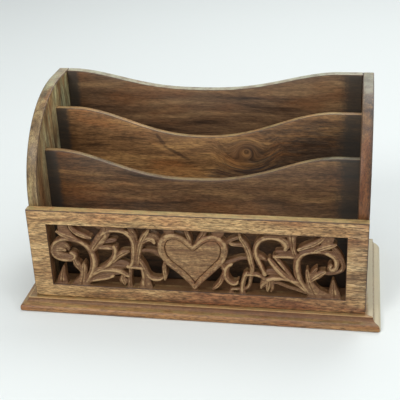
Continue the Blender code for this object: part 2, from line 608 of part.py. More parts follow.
def base_profile():
    """Inset and height up the moulded edge: rounded nose, cove, a small step and the top."""
    nose_rise = BASE_NOSE_HEIGHT - BASE_NOSE_SPRING
    cove_width = BASE_MOULD_WIDTH - BASE_NOSE_WIDTH
    cove_rise = BASE_THICKNESS - BASE_STEP_HEIGHT - BASE_NOSE_HEIGHT
    turns = [math.pi / 2 * index / MOULDING_STEPS for index in range(MOULDING_STEPS + 1)]
    profile = [(BASE_UNDER_ROUNDING * (1 - math.sin(turn)),
                BASE_UNDER_ROUNDING * (1 - math.cos(turn))) for turn in turns]
    profile += [(BASE_NOSE_WIDTH * (1 - math.cos(turn)),
                 BASE_NOSE_SPRING + nose_rise * math.sin(turn)) for turn in turns]
    profile += [(BASE_NOSE_WIDTH + cove_width * math.sin(turn),
                 BASE_NOSE_HEIGHT + cove_rise * (1 - math.cos(turn))) for turn in turns[1:]]
    profile.append((BASE_MOULD_WIDTH, BASE_THICKNESS))
    return profile


def vine_solid(name, depth_share, line_shares, number):
    """One carved vine: a ribbon through the whole panel, crowned along its middle."""
    ridge = BODY_FRONT_Y + CARVING_RECESS + CARVING_DROP * depth_share
    shoulder = ridge + CARVING_CROWN
    stagger_share = (1 + number % VINE_STAGGERS) / (2 + VINE_STAGGERS)
    rear = FRONT_REAR_Y + PLANING_ALLOWANCE * stagger_share
    line = [Vector((u * WINDOW_HALF_WIDTH, WINDOW_BOTTOM_Z + v * WINDOW_HEIGHT))
            for u, v, width_share in line_shares]
    rings = []
    for index, place in enumerate(line):
        onward = line[min(index + 1, len(line) - 1)] - line[max(index - 1, 0)]
        onward.normalize()
        aside = Vector((-onward.y, onward.x)) * line_shares[index][2] * WINDOW_HEIGHT / 2
        left = place + aside
        right = place - aside
        rings.append([(left.x, rear, left.y), (left.x, shoulder, left.y),
                      (place.x, ridge, place.y), (right.x, shoulder, right.y),
                      (right.x, rear, right.y)])
    return lofted(name, rings)


def heart_field():
    """The plain heart inside the carved border: a plate bounded by the border's middle line."""
    outline = [(u, v) for u, v, width_share in HEART_RIGHT_SHARES + HEART_LEFT_SHARES[-2:0:-1]]
    front = BODY_FRONT_Y + CARVING_RECESS + CARVING_DROP * HEART_FIELD_DEPTH_SHARE
    rings = [[(u * WINDOW_HALF_WIDTH, y, WINDOW_BOTTOM_Z + v * WINDOW_HEIGHT) for u, v in outline]
             for y in (front, FRONT_REAR_Y + PLANING_ALLOWANCE)]
    return lofted("heart_field", rings)


def carving_solids():
    vines = [*LEFT_VINE_SHARES, *HEART_SUPPORT_SHARES, *RIGHT_VINE_SHARES]
    vines += [(0, HEART_LEFT_SHARES), (0, HEART_RIGHT_SHARES)]
    solids = [vine_solid(f"vine_{number}", depth_share, line_shares, number)
              for number, (depth_share, line_shares) in enumerate(vines, 1)]
    return [heart_field(), *solids]


def screw_places():
    """Where the screws come up: a list of X and Y for each board that they hold."""
    slot_middles = ((FRONT_REAR_Y + FRONT_DIVIDER_Y) / 2,
                    (FRONT_DIVIDER_Y + DIVIDER_THICKNESS + REAR_DIVIDER_Y) / 2,
                    (REAR_DIVIDER_Y + DIVIDER_THICKNESS + BACK_FRONT_Y) / 2)
    outer = BODY_WIDTH / 2 - SCREW_END_MARGIN
    front_middle = (BODY_FRONT_Y + FRONT_REAR_Y) / 2
    places = {
        "side_left": [(-SIDE_MIDDLE_X, y) for y in slot_middles],
        "side_right": [(SIDE_MIDDLE_X, y) for y in slot_middles],
        "front_panel": [(x, front_middle) for x in (-outer, 0, outer)],
        "back_panel": [(x, BACK_MIDDLE_Y) for x in (-outer, 0, outer)],
        "divider_front": [(x, FRONT_DIVIDER_Y + DIVIDER_THICKNESS / 2) for x in (-outer, outer)],
        "divider_rear": [(x, REAR_DIVIDER_Y + DIVIDER_THICKNESS / 2) for x in (-outer, outer)],
    }
    return places


def make_screws(steel):
    """The screws, and for each board the cutters of their holes, through the base and into it."""
    head_top = SCREW_SINK + SCREW_HEAD_HEIGHT
    tip = SCREW_SINK + SCREW_LENGTH
    profile = [(SCREW_SINK, SCREW_HEAD_RADIUS), (head_top, SCREW_RADIUS),
               (tip - SCREW_TIP_LENGTH, SCREW_RADIUS), (tip, SCREW_TIP_RADIUS)]
    hole_radius = SCREW_RADIUS + GLUE_GAP
    sink_radius = SCREW_HEAD_RADIUS + GLUE_GAP
    hole_profile = [(-CUT_OVERRUN, sink_radius), (SCREW_SINK, sink_radius),
                    (head_top, hole_radius), (tip + GLUE_GAP, hole_radius)]
    reach = SCREW_SLOT_LENGTH / 2
    half = SCREW_SLOT_WIDTH / 2
    slot_top = SCREW_SINK + SCREW_SLOT_DEPTH
    holes = {}
    for held, places in screw_places().items():
        holes[held] = []
        for number, (x, y) in enumerate(places, 1):
            name = f"screw_{held}_{number}"
            screw = turned(name, (x, y, 0), (0, 0, 1), profile, SCREW_SIDES, steel)
            slots = [box_tool(f"{name}_slot_x", (x - reach, y - half, -CUT_OVERRUN),
                              (x + reach, y + half, slot_top)),
                     box_tool(f"{name}_slot_y", (x - half, y - reach, -CUT_OVERRUN),
                              (x + half, y + reach, slot_top))]
            add_boolean(screw, "DIFFERENCE", slots)
            holes[held].append(turned(f"{name}_hole", (x, y, 0), (0, 0, 1), hole_profile,
                                      SCREW_SIDES))
    return holes


def make_dowel(name, place, axis, wood):
    """A blind dowel across a joint. The axis points to its long end. Returns its hole's cutter."""
    lengths = [(GLUE_GAP - DOWEL_SHORT_END, DOWEL_RADIUS), (DOWEL_LONG_END - GLUE_GAP, DOWEL_RADIUS)]
    turned(name, place, axis, lengths, DOWEL_SIDES, wood)
    bore_radius = DOWEL_RADIUS + GLUE_GAP
    bore = [(-DOWEL_SHORT_END, bore_radius), (DOWEL_LONG_END, bore_radius)]
    return turned(f"{name}_hole", place, axis, bore, DOWEL_SIDES)


def make_dowels(wood):
    """The dowels, and for each board the cutters of their holes."""
    holes = {"front_panel": [], "back_panel": [], "side_left": [], "side_right": []}
    for word, side in (("left", -1), ("right", 1)):
        for number, height in enumerate(FRONT_DOWEL_HEIGHTS, 1):
            place = (side * SIDE_MIDDLE_X, FRONT_REAR_Y, BASE_THICKNESS + height)
            hole = make_dowel(f"dowel_front_{word}_{number}", place, (0, 1, 0), wood)
            holes["front_panel"].append(hole)
            holes[f"side_{word}"].append(hole)
        for number, height in enumerate(BACK_DOWEL_HEIGHTS, 1):
            place = (side * SIDE_INNER_X, BACK_MIDDLE_Y, BASE_THICKNESS + height)
            hole = make_dowel(f"dowel_back_{word}_{number}", place, (-side, 0, 0), wood)
            holes["back_panel"].append(hole)
            holes[f"side_{word}"].append(hole)
    return holes


def housing_tools(word, side):
    """The stopped grooves in one side that take the ends of the two dividers."""
    tools = []
    inner = side * (SIDE_INNER_X - CUT_OVERRUN)
    outer = side * (SIDE_INNER_X + HOUSING_DEPTH)
    for divider, front, height in (("front", FRONT_DIVIDER_Y, FRONT_DIVIDER_HEIGHT),
                                   ("rear", REAR_DIVIDER_Y, REAR_DIVIDER_HEIGHT)):
        low = (min(inner, outer), front - GLUE_GAP, BASE_THICKNESS - CUT_OVERRUN)
        high = (max(inner, outer), front + DIVIDER_THICKNESS + GLUE_GAP,
                BASE_THICKNESS + height + GLUE_GAP)
        tools.append(box_tool(f"housing_{word}_{divider}", low, high))
    return tools


def make_base(wood, holes):
    rings = [base_ring(inwards, height) for inwards, height in base_profile()]
    base = lofted("base_board", rings, wood)
    add_boolean(base, "DIFFERENCE", [hole for group in holes.values() for hole in group])


def make_side(word, side, wood, holes):
    outline = [(side * BODY_WIDTH / 2, y, z) for y, z in side_outline()]
    upright = board(f"side_{word}", outline, (-side * SIDE_THICKNESS, 0, 0), wood)
    add_boolean(upright, "DIFFERENCE", holes + housing_tools(word, side))


def make_dipped(name, outline, front, thickness, wood, holes):
    upright = board(name, [(x, front, z) for x, z in outline], (0, thickness, 0), wood)
    add_boolean(upright, "DIFFERENCE", holes)


def make_front(wood, holes):
    """The pierced panel. It starts too thick, and its back is planed off after the carving."""
    half = BODY_WIDTH / 2
    top = BASE_THICKNESS + FRONT_HEIGHT
    rough_rear = FRONT_REAR_Y + PLANING_ALLOWANCE
    outline = [(x, BODY_FRONT_Y, z)
               for x, z in ((-half, SEAT_Z), (half, SEAT_Z), (half, top), (-half, top))]
    panel = board("front_panel", outline, (0, FRONT_THICKNESS + PLANING_ALLOWANCE, 0), wood)
    window = box_tool("window", (-WINDOW_HALF_WIDTH, BODY_FRONT_Y - CUT_OVERRUN, WINDOW_BOTTOM_Z),
                      (WINDOW_HALF_WIDTH, rough_rear + CUT_OVERRUN,
                       WINDOW_BOTTOM_Z + WINDOW_HEIGHT))
    add_boolean(panel, "DIFFERENCE", [window])
    add_boolean(panel, "UNION", carving_solids())
    planed_off = box_tool("planed_off", (-half - CUT_OVERRUN, FRONT_REAR_Y, SEAT_Z - CUT_OVERRUN),
                          (half + CUT_OVERRUN, rough_rear + CUT_OVERRUN, top + CUT_OVERRUN))
    add_boolean(panel, "DIFFERENCE", [planed_off] + holes)


def main():
    clear_scene()
    carved = finish_material("carved_wood", (0.42, 0.24, 0.10), 0.5)
    dark = finish_material("dark_wood", (0.16, 0.07, 0.03), 0.4)
    edge = finish_material("side_wood", (0.30, 0.17, 0.08), 0.45)
    base = finish_material("base_wood", (0.28, 0.15, 0.07), 0.45)
    dowel = finish_material("dowel_wood", (0.62, 0.45, 0.27), 0.7)
    steel = finish_material("screw_steel", (0.55, 0.53, 0.48), 0.35, 1.0)
    screw_holes = make_screws(steel)
    dowel_holes = make_dowels(dowel)
    make_base(base, screw_holes)
    for word, side in (("left", -1), ("right", 1)):
        name = f"side_{word}"
        make_side(word, side, edge, screw_holes[name] + dowel_holes[name])
    front_line = dip_outline(DIVIDER_END_X, FRONT_DIVIDER_HEIGHT, FRONT_DIVIDER_DIP,
                             FRONT_DIVIDER_DIP_OFFSET, FRONT_DIVIDER_DIP_SHOULDER,
                             FRONT_DIVIDER_DIP_POWER)
    make_dipped("divider_front", front_line, FRONT_DIVIDER_Y, DIVIDER_THICKNESS, dark,
                screw_holes["divider_front"])
    rear_line = dip_outline(DIVIDER_END_X, REAR_DIVIDER_HEIGHT, REAR_DIVIDER_DIP,
                            REAR_DIVIDER_DIP_OFFSET, REAR_DIVIDER_DIP_SHOULDER,
                            REAR_DIVIDER_DIP_POWER)
    make_dipped("divider_rear", rear_line, REAR_DIVIDER_Y, DIVIDER_THICKNESS, dark,
                screw_holes["divider_rear"])
    back_line = dip_outline(BACK_END_X, BACK_HEIGHT, BACK_DIP, BACK_DIP_OFFSET,
                            BACK_DIP_SHOULDER, BACK_DIP_POWER)
    make_dipped("back_panel", back_line, BACK_FRONT_Y, BACK_THICKNESS, dark,
                screw_holes["back_panel"] + dowel_holes["back_panel"])
    make_front(carved, screw_holes["front_panel"] + dowel_holes["front_panel"])


main()
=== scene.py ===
# %% [markdown]
# # A letter rack of carved and waxed wood
#
# The rack is seven boards: a moulded base, two arched sides, a back, two dividers with dipped tops
# and a pierced front panel, held by screws from below and by blind dowels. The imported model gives
# the place and size of every board, so this lesson begins by loading it and reading its boxes.
# Everything made later starts from those boxes.

import math

import bmesh
import bpy
import numpy as np
from mathutils import Matrix, Vector
from mathutils.geometry import delaunay_2d_cdt


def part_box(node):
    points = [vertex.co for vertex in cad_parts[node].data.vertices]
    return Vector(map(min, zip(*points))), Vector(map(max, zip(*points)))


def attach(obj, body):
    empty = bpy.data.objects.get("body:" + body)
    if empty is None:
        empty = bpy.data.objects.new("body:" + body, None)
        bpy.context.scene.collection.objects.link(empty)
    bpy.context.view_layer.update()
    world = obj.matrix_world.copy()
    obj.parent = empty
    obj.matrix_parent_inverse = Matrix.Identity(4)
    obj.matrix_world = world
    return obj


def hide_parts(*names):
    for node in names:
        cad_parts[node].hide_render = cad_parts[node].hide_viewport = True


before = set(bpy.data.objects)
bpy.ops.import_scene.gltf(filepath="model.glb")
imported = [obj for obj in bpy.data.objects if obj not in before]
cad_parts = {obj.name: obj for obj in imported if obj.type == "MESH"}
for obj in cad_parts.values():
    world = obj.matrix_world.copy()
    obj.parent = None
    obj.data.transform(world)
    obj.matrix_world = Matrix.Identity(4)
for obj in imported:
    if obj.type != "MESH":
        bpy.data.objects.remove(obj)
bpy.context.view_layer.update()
MM = 0.001

# %% [markdown]
# ## The camera
#
# A photograph fixes eight corners of the rack well enough to solve where the lens stood: in front,
# a little to the right, well above and turned slightly clockwise. The three angles below rebuild
# that view. The lens comes from the solved focal length in pixels, so the perspective of the
# arched sides is right, and no shift is needed.

# %% Place the camera
PHOTO_PIXELS = 400
FOCAL_PIXELS = 898.7
SENSOR_WIDTH = 36.0
CAMERA_PLACE = Vector((0.1375, -0.7450, 0.4599))
CAMERA_YAW, CAMERA_PITCH, CAMERA_ROLL = (math.radians(angle) for angle in (-10.76, -26.27, -2.55))


def camera_turn(yaw, pitch, roll):
    """The camera's rotation: it looks along +Y when all three angles are zero."""
    ahead = Vector((math.sin(yaw) * math.cos(pitch), math.cos(yaw) * math.cos(pitch),
                    math.sin(pitch)))
    level_right = Vector((math.cos(yaw), -math.sin(yaw), 0))
    level_up = level_right.cross(ahead)
    right = level_right * math.cos(roll) + level_up * math.sin(roll)
    up = level_up * math.cos(roll) - level_right * math.sin(roll)
    return Matrix((right, up, -ahead)).transposed()


lens = bpy.data.cameras.new("photo_camera")
lens.sensor_width = SENSOR_WIDTH
lens.lens = FOCAL_PIXELS / PHOTO_PIXELS * SENSOR_WIDTH
camera = bpy.data.objects.new("photo_camera", lens)
camera.matrix_world = (Matrix.Translation(CAMERA_PLACE)
                       @ camera_turn(CAMERA_YAW, CAMERA_PITCH, CAMERA_ROLL).to_4x4())
bpy.context.scene.collection.objects.link(camera)
bpy.context.scene.camera = camera
print(f"Lens {lens.lens:.1f} mm")

# %% [markdown]
# ## Helpers for node trees
#
# A material or a geometry recipe is a tree of nodes joined by links. A few helpers keep each tree
# short to read. One adds a node and fills its inputs, whether with numbers or with links. One
# starts a node group with named inputs and outputs, and one ends a geometry recipe. The others
# wrap the nodes that are used most.


# %% Helpers that add nodes and groups
def add_node(tree, kind, inputs=None, **settings):
    """Adds a node. Each input takes a plain value, or another node's output socket to link."""
    made = tree.nodes.new(kind)
    for name, value in settings.items():
        setattr(made, name, value)
    for key, value in (inputs or {}).items():
        if isinstance(value, bpy.types.NodeSocket):
            tree.links.new(value, made.inputs[key])
        else:
            made.inputs[key].default_value = value
    return made


def start_group(name, tree_kind, inputs, outputs):
    """A node group, its input node and its output node. Inputs are (name, kind, value).

    A kind is the last word of a socket's type: Float, Int, Vector, Color and so on."""
    group = bpy.data.node_groups.new(name, tree_kind)
    for label, kind, value in inputs:
        socket = group.interface.new_socket(label, in_out="INPUT", socket_type="NodeSocket" + kind)
        if value is not None:
            socket.default_value = value
    for label, kind in outputs:
        group.interface.new_socket(label, in_out="OUTPUT", socket_type="NodeSocket" + kind)
    return group, group.nodes.new("NodeGroupInput"), group.nodes.new("NodeGroupOutput")


def end_geometry(tree, geometry, material, result):
    """Ends a geometry recipe: copies become real mesh, then it gets its material."""
    real = add_node(tree, "GeometryNodeRealizeInstances", {"Geometry": geometry})
    finished = add_node(tree, "GeometryNodeSetMaterial", {"Geometry": real.outputs[0],
                                                          "Material": material})
    tree.links.new(finished.outputs[0], result.inputs[0])
    tree.is_modifier = True
    return tree


def maths(tree, operation, first, second=0.0):
    """The result socket of one Math node."""
    return add_node(tree, "ShaderNodeMath", {0: first, 1: second}, operation=operation).outputs[0]


def vector_maths(tree, operation, first, second=(0.0, 0.0, 0.0)):
    """The result socket of one Vector Math node: a number for LENGTH, else a vector."""
    made = add_node(tree, "ShaderNodeVectorMath", {0: first, 1: second}, operation=operation)
    return made.outputs["Value" if operation == "LENGTH" else "Vector"]


def combine(tree, x=0.0, y=0.0, z=0.0):
    """The vector socket of one Combine XYZ node."""
    return add_node(tree, "ShaderNodeCombineXYZ", {0: x, 1: y, 2: z}).outputs[0]


def mix_colour(tree, factor, first, second, blend="MIX"):
    """The result socket of a colour Mix node."""
    made = add_node(tree, "ShaderNodeMix", {0: factor, 6: first, 7: second}, data_type="RGBA",
                    blend_type=blend, clamp_factor=True)
    return made.outputs[2]


def smooth_range(tree, value, low, high, out_low=0.0, out_high=1.0):
    """Maps low to high onto out_low to out_high, with soft ends."""
    made = add_node(tree, "ShaderNodeMapRange",
                    {0: value, 1: low, 2: high, 3: out_low, 4: out_high},
                    interpolation_type="SMOOTHSTEP")
    return made.outputs[0]


def noise(tree, vector, scale, detail=2.0, roughness=0.5, distortion=0.0):
    """The factor socket of a Noise Texture."""
    made = add_node(tree, "ShaderNodeTexNoise",
                    {"Vector": vector, "Scale": scale, "Detail": detail,
                     "Roughness": roughness, "Distortion": distortion})
    return made.outputs[0]


def stretched(tree, vector, along, across):
    """Coordinates drawn out along the grain, which runs on X."""
    return vector_maths(tree, "MULTIPLY", vector, (along, across, across))


# %% [markdown]
# ## Wood grain as a shared group
#
# Waxed hardwood is marked at several scales. Broad figure wanders along the board in bands
# 5 to 20 mm wide, short dashes of light and dark a few millimetres long cover it, fine fibres
# run straight, and small dark pores fleck the surface. All are noise in coordinates drawn out
# along the grain, so one group serves every board: each material gives it its own colours and
# turns the grain with a Mapping node. A second group bends the coordinates round a knot, which
# makes the figure swirl.


# %% The wood grain group
FIGURE_STRETCH = 0.09
PORE_TINT = (0.55, 0.55, 0.55, 1)


def build_grain_group():
    """Colours a board. Scales are in noise cells per metre, along the grain and across it."""
    group, given, result = start_group(
        "Wood grain", "ShaderNodeTree",
        [("Vector", "Vector", None), ("Dark", "Color", None),
         ("Middle", "Color", None), ("Light", "Color", None),
         ("Blush", "Color", None), ("Blush Amount", "Float", 0.4),
         ("Wander", "Float", 0.008), ("Band Scale", "Float", 90.0),
         ("Dash", "Float", 0.25), ("Fleck", "Float", 0.6)],
        [("Color", "Color"), ("Height", "Float"),
         ("Figure", "Float")])
    value = given.outputs
    vector = value["Vector"]
    drift = add_node(group, "ShaderNodeTexNoise", {"Vector": vector, "Scale": 11.0, "Detail": 2.0})
    centred = vector_maths(group, "SUBTRACT", drift.outputs["Color"], (0.5, 0.5, 0.5))
    shift = vector_maths(group, "MULTIPLY", centred, value["Wander"])
    wandered = vector_maths(group, "ADD", vector, shift)
    band_scale = value["Band Scale"]
    along = maths(group, "MULTIPLY", band_scale, FIGURE_STRETCH)
    drawn = vector_maths(group, "MULTIPLY", wandered, combine(group, along, band_scale, band_scale))
    figure = noise(group, drawn, 1.0, detail=5.0, roughness=0.62, distortion=0.25)
    fibre = noise(group, stretched(group, wandered, along=60.0, across=1500.0), 1.0)
    dashes = noise(group, stretched(group, wandered, along=160.0, across=880.0), 1.0,
                   detail=3.0, roughness=0.7)
    pores = noise(group, stretched(group, vector, along=190.0, across=1350.0), 1.0, detail=1.0)
    blotches = noise(group, stretched(group, vector, along=14.0, across=38.0), 1.0, detail=3.0)
    low = mix_colour(group, smooth_range(group, figure, 0.30, 0.50), value["Dark"],
                     value["Middle"])
    base = mix_colour(group, smooth_range(group, figure, 0.49, 0.68), low, value["Light"])
    blush_mask = maths(group, "MULTIPLY", smooth_range(group, blotches, 0.48, 0.66),
                       value["Blush Amount"])
    blushed = mix_colour(group, blush_mask, base, value["Blush"])
    darkest = maths(group, "SUBTRACT", 1.0, value["Dash"])
    lightest = maths(group, "ADD", 1.0, value["Dash"])
    dash_shade = smooth_range(group, dashes, 0.30, 0.70, darkest, lightest)
    dashed = mix_colour(group, 1.0, blushed, dash_shade, "MULTIPLY")
    fibre_shade = smooth_range(group, fibre, 0.25, 0.75, 0.85, 1.15)
    fibred = mix_colour(group, 1.0, dashed, fibre_shade, "MULTIPLY")
    pore_mask = smooth_range(group, pores, 0.57, 0.70)
    pore_colour = mix_colour(group, 1.0, value["Dark"], PORE_TINT, "MULTIPLY")
    flecked = mix_colour(group, maths(group, "MULTIPLY", pore_mask, value["Fleck"]), fibred,
                         pore_colour)
    height = maths(group, "SUBTRACT", maths(group, "MULTIPLY", fibre, 0.35), pore_mask)
    for name, socket in (("Color", flecked), ("Height", height), ("Figure", figure)):
        group.links.new(socket, result.inputs[name])
    return group


wood_grain = build_grain_group()
print("Group", wood_grain.name, "with", len(wood_grain.nodes), "nodes")


# %% The knot group
KNOT_FLATNESS = (1.0, 0.0, 1.15)


def build_knot_group():
    """Pulls the coordinates into rings round a centre, fading out at the radius."""
    group, given, result = start_group(
        "Knot", "ShaderNodeTree",
        [("Vector", "Vector", None), ("Centre", "Vector", None),
         ("Radius", "Float", 0.03)],
        [("Vector", "Vector")])
    vector, centre, radius = (given.outputs[label] for label in ("Vector", "Centre", "Radius"))
    away = vector_maths(group, "SUBTRACT", vector, centre)
    distance = vector_maths(group, "LENGTH", vector_maths(group, "MULTIPLY", away, KNOT_FLATNESS))
    fade = smooth_range(group, maths(group, "DIVIDE", distance, radius), 0.15, 1.0, 0.7, 0.0)
    round_centre = vector_maths(group, "ADD", centre, combine(group, z=distance))
    mixed = add_node(group, "ShaderNodeMix", {0: fade, 4: vector, 5: round_centre},
                     data_type="VECTOR")
    group.links.new(mixed.outputs[1], result.inputs[0])
    return group


knot = build_knot_group()
print("Group", knot.name, "ready")

# %% [markdown]
# ## Stain, wear and painted light as shared groups
#
# Stain soaks in deep where a board's arris cuts across the fibres, which leaves a thin dark line
# along each edge. Stain gathers in the hollows and shade is painted there too, ridges are rubbed
# pale with a painted highlight, and a pale sheen is painted on the base's right end. All four
# follow the shape, so a mesh carries them as numbers on its points, `edge`, `hollow`,
# `rubbed_highlight` and `end_sheen`, each from 0 to 1. One function builds the four groups: a
# group reads its attribute, breaks it up with noise and puts out a colour and a mask. Two more
# groups need no attribute. One paints a pale sheen on the faces that look up, and a patch tints
# one stretch of a board, with the wood's own tone or with painted light and shade.


# %% The groups for marks, bloom and patches
def build_mark_group(name, attribute, low, high, grit_scale, rag=0.3):
    """Mixes a colour in where the mesh's attribute is high, with a ragged border.

    The colour sets in at low and is full at high, and rag is how far noise moves both."""
    group, given, result = start_group(
        name, "ShaderNodeTree",
        [("Vector", "Vector", None), ("Color", "Color", None),
         ("Mark", "Color", None), ("Amount", "Float", 0.7)],
        [("Color", "Color"), ("Mask", "Float")])
    value = given.outputs
    held = add_node(group, "ShaderNodeAttribute", attribute_name=attribute).outputs["Fac"]
    grit = noise(group, value["Vector"], grit_scale, detail=3.0, roughness=0.6)
    ragged = maths(group, "ADD", held, smooth_range(group, grit, 0.2, 0.8, -rag, rag))
    strength = maths(group, "MULTIPLY", smooth_range(group, ragged, low, high), value["Amount"])
    present = maths(group, "MULTIPLY", strength, smooth_range(group, held, 0, 0.15))
    colour = mix_colour(group, present, value["Color"], value["Mark"])
    group.links.new(colour, result.inputs["Color"])
    group.links.new(present, result.inputs["Mask"])
    return group


def build_top_sheen_group():
    """Paints a pale sheen on the faces that look up, stronger in some patches than in others."""
    group, given, result = start_group(
        "Painted top sheen", "ShaderNodeTree",
        [("Vector", "Vector", None), ("Color", "Color", None),
         ("Top Sheen", "Color", None), ("Amount", "Float", 0.4),
         ("Least Up", "Float", 0.8)],
        [("Color", "Color")])
    value = given.outputs
    facing = add_node(group, "ShaderNodeSeparateXYZ",
                      {0: group.nodes.new("ShaderNodeNewGeometry").outputs["Normal"]})
    blotches = noise(group, value["Vector"], 75.0, detail=5.0, roughness=0.7)
    upward = smooth_range(group, facing.outputs[2], value["Least Up"], 0.99)
    cover = maths(group, "MULTIPLY", upward, smooth_range(group, blotches, 0.38, 0.6, 0.3, 1.0))
    strength = maths(group, "MULTIPLY", cover, value["Amount"])
    colour = mix_colour(group, strength, value["Color"], value["Top Sheen"])
    group.links.new(colour, result.inputs[0])
    return group


def build_tone_and_light_patch_group():
    """Tints one patch: an ellipsoid whose border runs out along the grain in fingers.

    Lean turns the ellipsoid about the Y axis."""
    group, given, result = start_group(
        "Tone and painted light patch", "ShaderNodeTree",
        [("Vector", "Vector", None), ("Color", "Color", None),
         ("Tint", "Color", None), ("Amount", "Float", 0.5),
         ("Centre", "Vector", None), ("Reach", "Vector", None),
         ("Grain", "Vector", None), ("Lean", "Float", 0.0)],
        [("Color", "Color")])
    value = given.outputs
    away = vector_maths(group, "SUBTRACT", value["Vector"], value["Centre"])
    leaning = add_node(group, "ShaderNodeVectorRotate", {"Vector": away, "Angle": value["Lean"]},
                       rotation_type="Y_AXIS")
    scaled = vector_maths(group, "DIVIDE", leaning.outputs[0], value["Reach"])
    fingers = noise(group, stretched(group, value["Grain"], along=45.0, across=300.0), 1.0,
                    detail=3.0, roughness=0.6)
    ragged = maths(group, "ADD", vector_maths(group, "LENGTH", scaled),
                   smooth_range(group, fingers, 0.2, 0.8, -0.35, 0.35))
    cover = maths(group, "MULTIPLY", smooth_range(group, ragged, 0.5, 1.15, 1.0, 0.0),
                  value["Amount"])
    colour = mix_colour(group, cover, value["Color"], value["Tint"], "MULTIPLY")
    group.links.new(colour, result.inputs[0])
    return group


painted_top_sheen = build_top_sheen_group()
tone_and_light_patch = build_tone_and_light_patch_group()
stained_arris = build_mark_group("Stained arris", "edge", 0.25, 0.9, grit_scale=160.0)
hollow_stain_and_shade = build_mark_group("Hollow stain and painted shade", "hollow", 0.12, 0.85, grit_scale=420.0, rag=0.13)
rubbed_and_highlit_ridge = build_mark_group("Rubbed ridge and painted highlight", "rubbed_highlight", 0.1, 0.9, grit_scale=190.0, rag=0.5)
painted_end_sheen = build_mark_group("Painted end sheen", "end_sheen", 0.2, 0.8, grit_scale=200.0, rag=0.1)
print("Groups", *(group.name for group in (stained_arris, hollow_stain_and_shade, rubbed_and_highlit_ridge, painted_end_sheen)))

# %% [markdown]
# ## The finishes
#
# One rack, one wood, but no two boards match. The front was cut from pale straight-grained stock,
# the dividers and back from darker heartwood with flowing figure. On the sides, patches paint light
# and shade: the right side darker, the left side paler on its inner face and high at the back.
# `waxed_wood` builds such a finish from the shared groups: grain, patches, a painted pale sheen on
# the faces that look up and on the base's right end, stain with painted shade in the hollows,
# ridges rubbed back with a painted highlight, and stained arrises. A board differs only in its
# colours, its grain direction, its patches and how strong the marks are. Colours are given as they
# look on screen, from 0 to 255, and turned into the linear values that Blender expects.


# %% Build the wood finishes
def screen_colour(red, green, blue):
    """A colour as seen on screen, as the linear RGBA that shaders take."""
    shares = [value / 255 for value in (red, green, blue)]
    linear = [share / 12.92 if share <= 0.04045 else ((share + 0.055) / 1.055) ** 2.4
              for share in shares]
    return (*linear, 1.0)


def place_group(tree, group, inputs):
    """Places a shared group in a material."""
    return add_node(tree, "ShaderNodeGroup", inputs, node_tree=group)


def new_material(name, roughness):
    """A material, its tree and its Principled shader, with a plain roughness."""
    material = bpy.data.materials.new(name)
    material.use_nodes = True
    shader = material.node_tree.nodes["Principled BSDF"]
    shader.inputs["Roughness"].default_value = roughness
    return material, material.node_tree, shader


# Painted light among these colours: the hollow colour stands for stain with painted shade, the slot
# colour for painted shade in the slots, the rubbed colour for wear with a painted highlight, and the
# end and top sheen colours for a painted sheen.
HOLLOW_STAIN_AND_SHADE = screen_colour(95, 60, 36)
SLOT_SHADE = screen_colour(54, 51, 46)
ARRIS_STAIN = screen_colour(70, 46, 28)
RUBBED_AND_HIGHLIT = screen_colour(212, 178, 128)
END_SHEEN_COLOUR = screen_colour(196, 186, 156)
OLIVE_TOP_SHEEN = screen_colour(172, 160, 108)
PALE_TOP_SHEEN = screen_colour(182, 183, 156)
ROUGHNESS = 0.42
ROUGHNESS_SWING = 0.35
STAIN_DULLS = 0.2


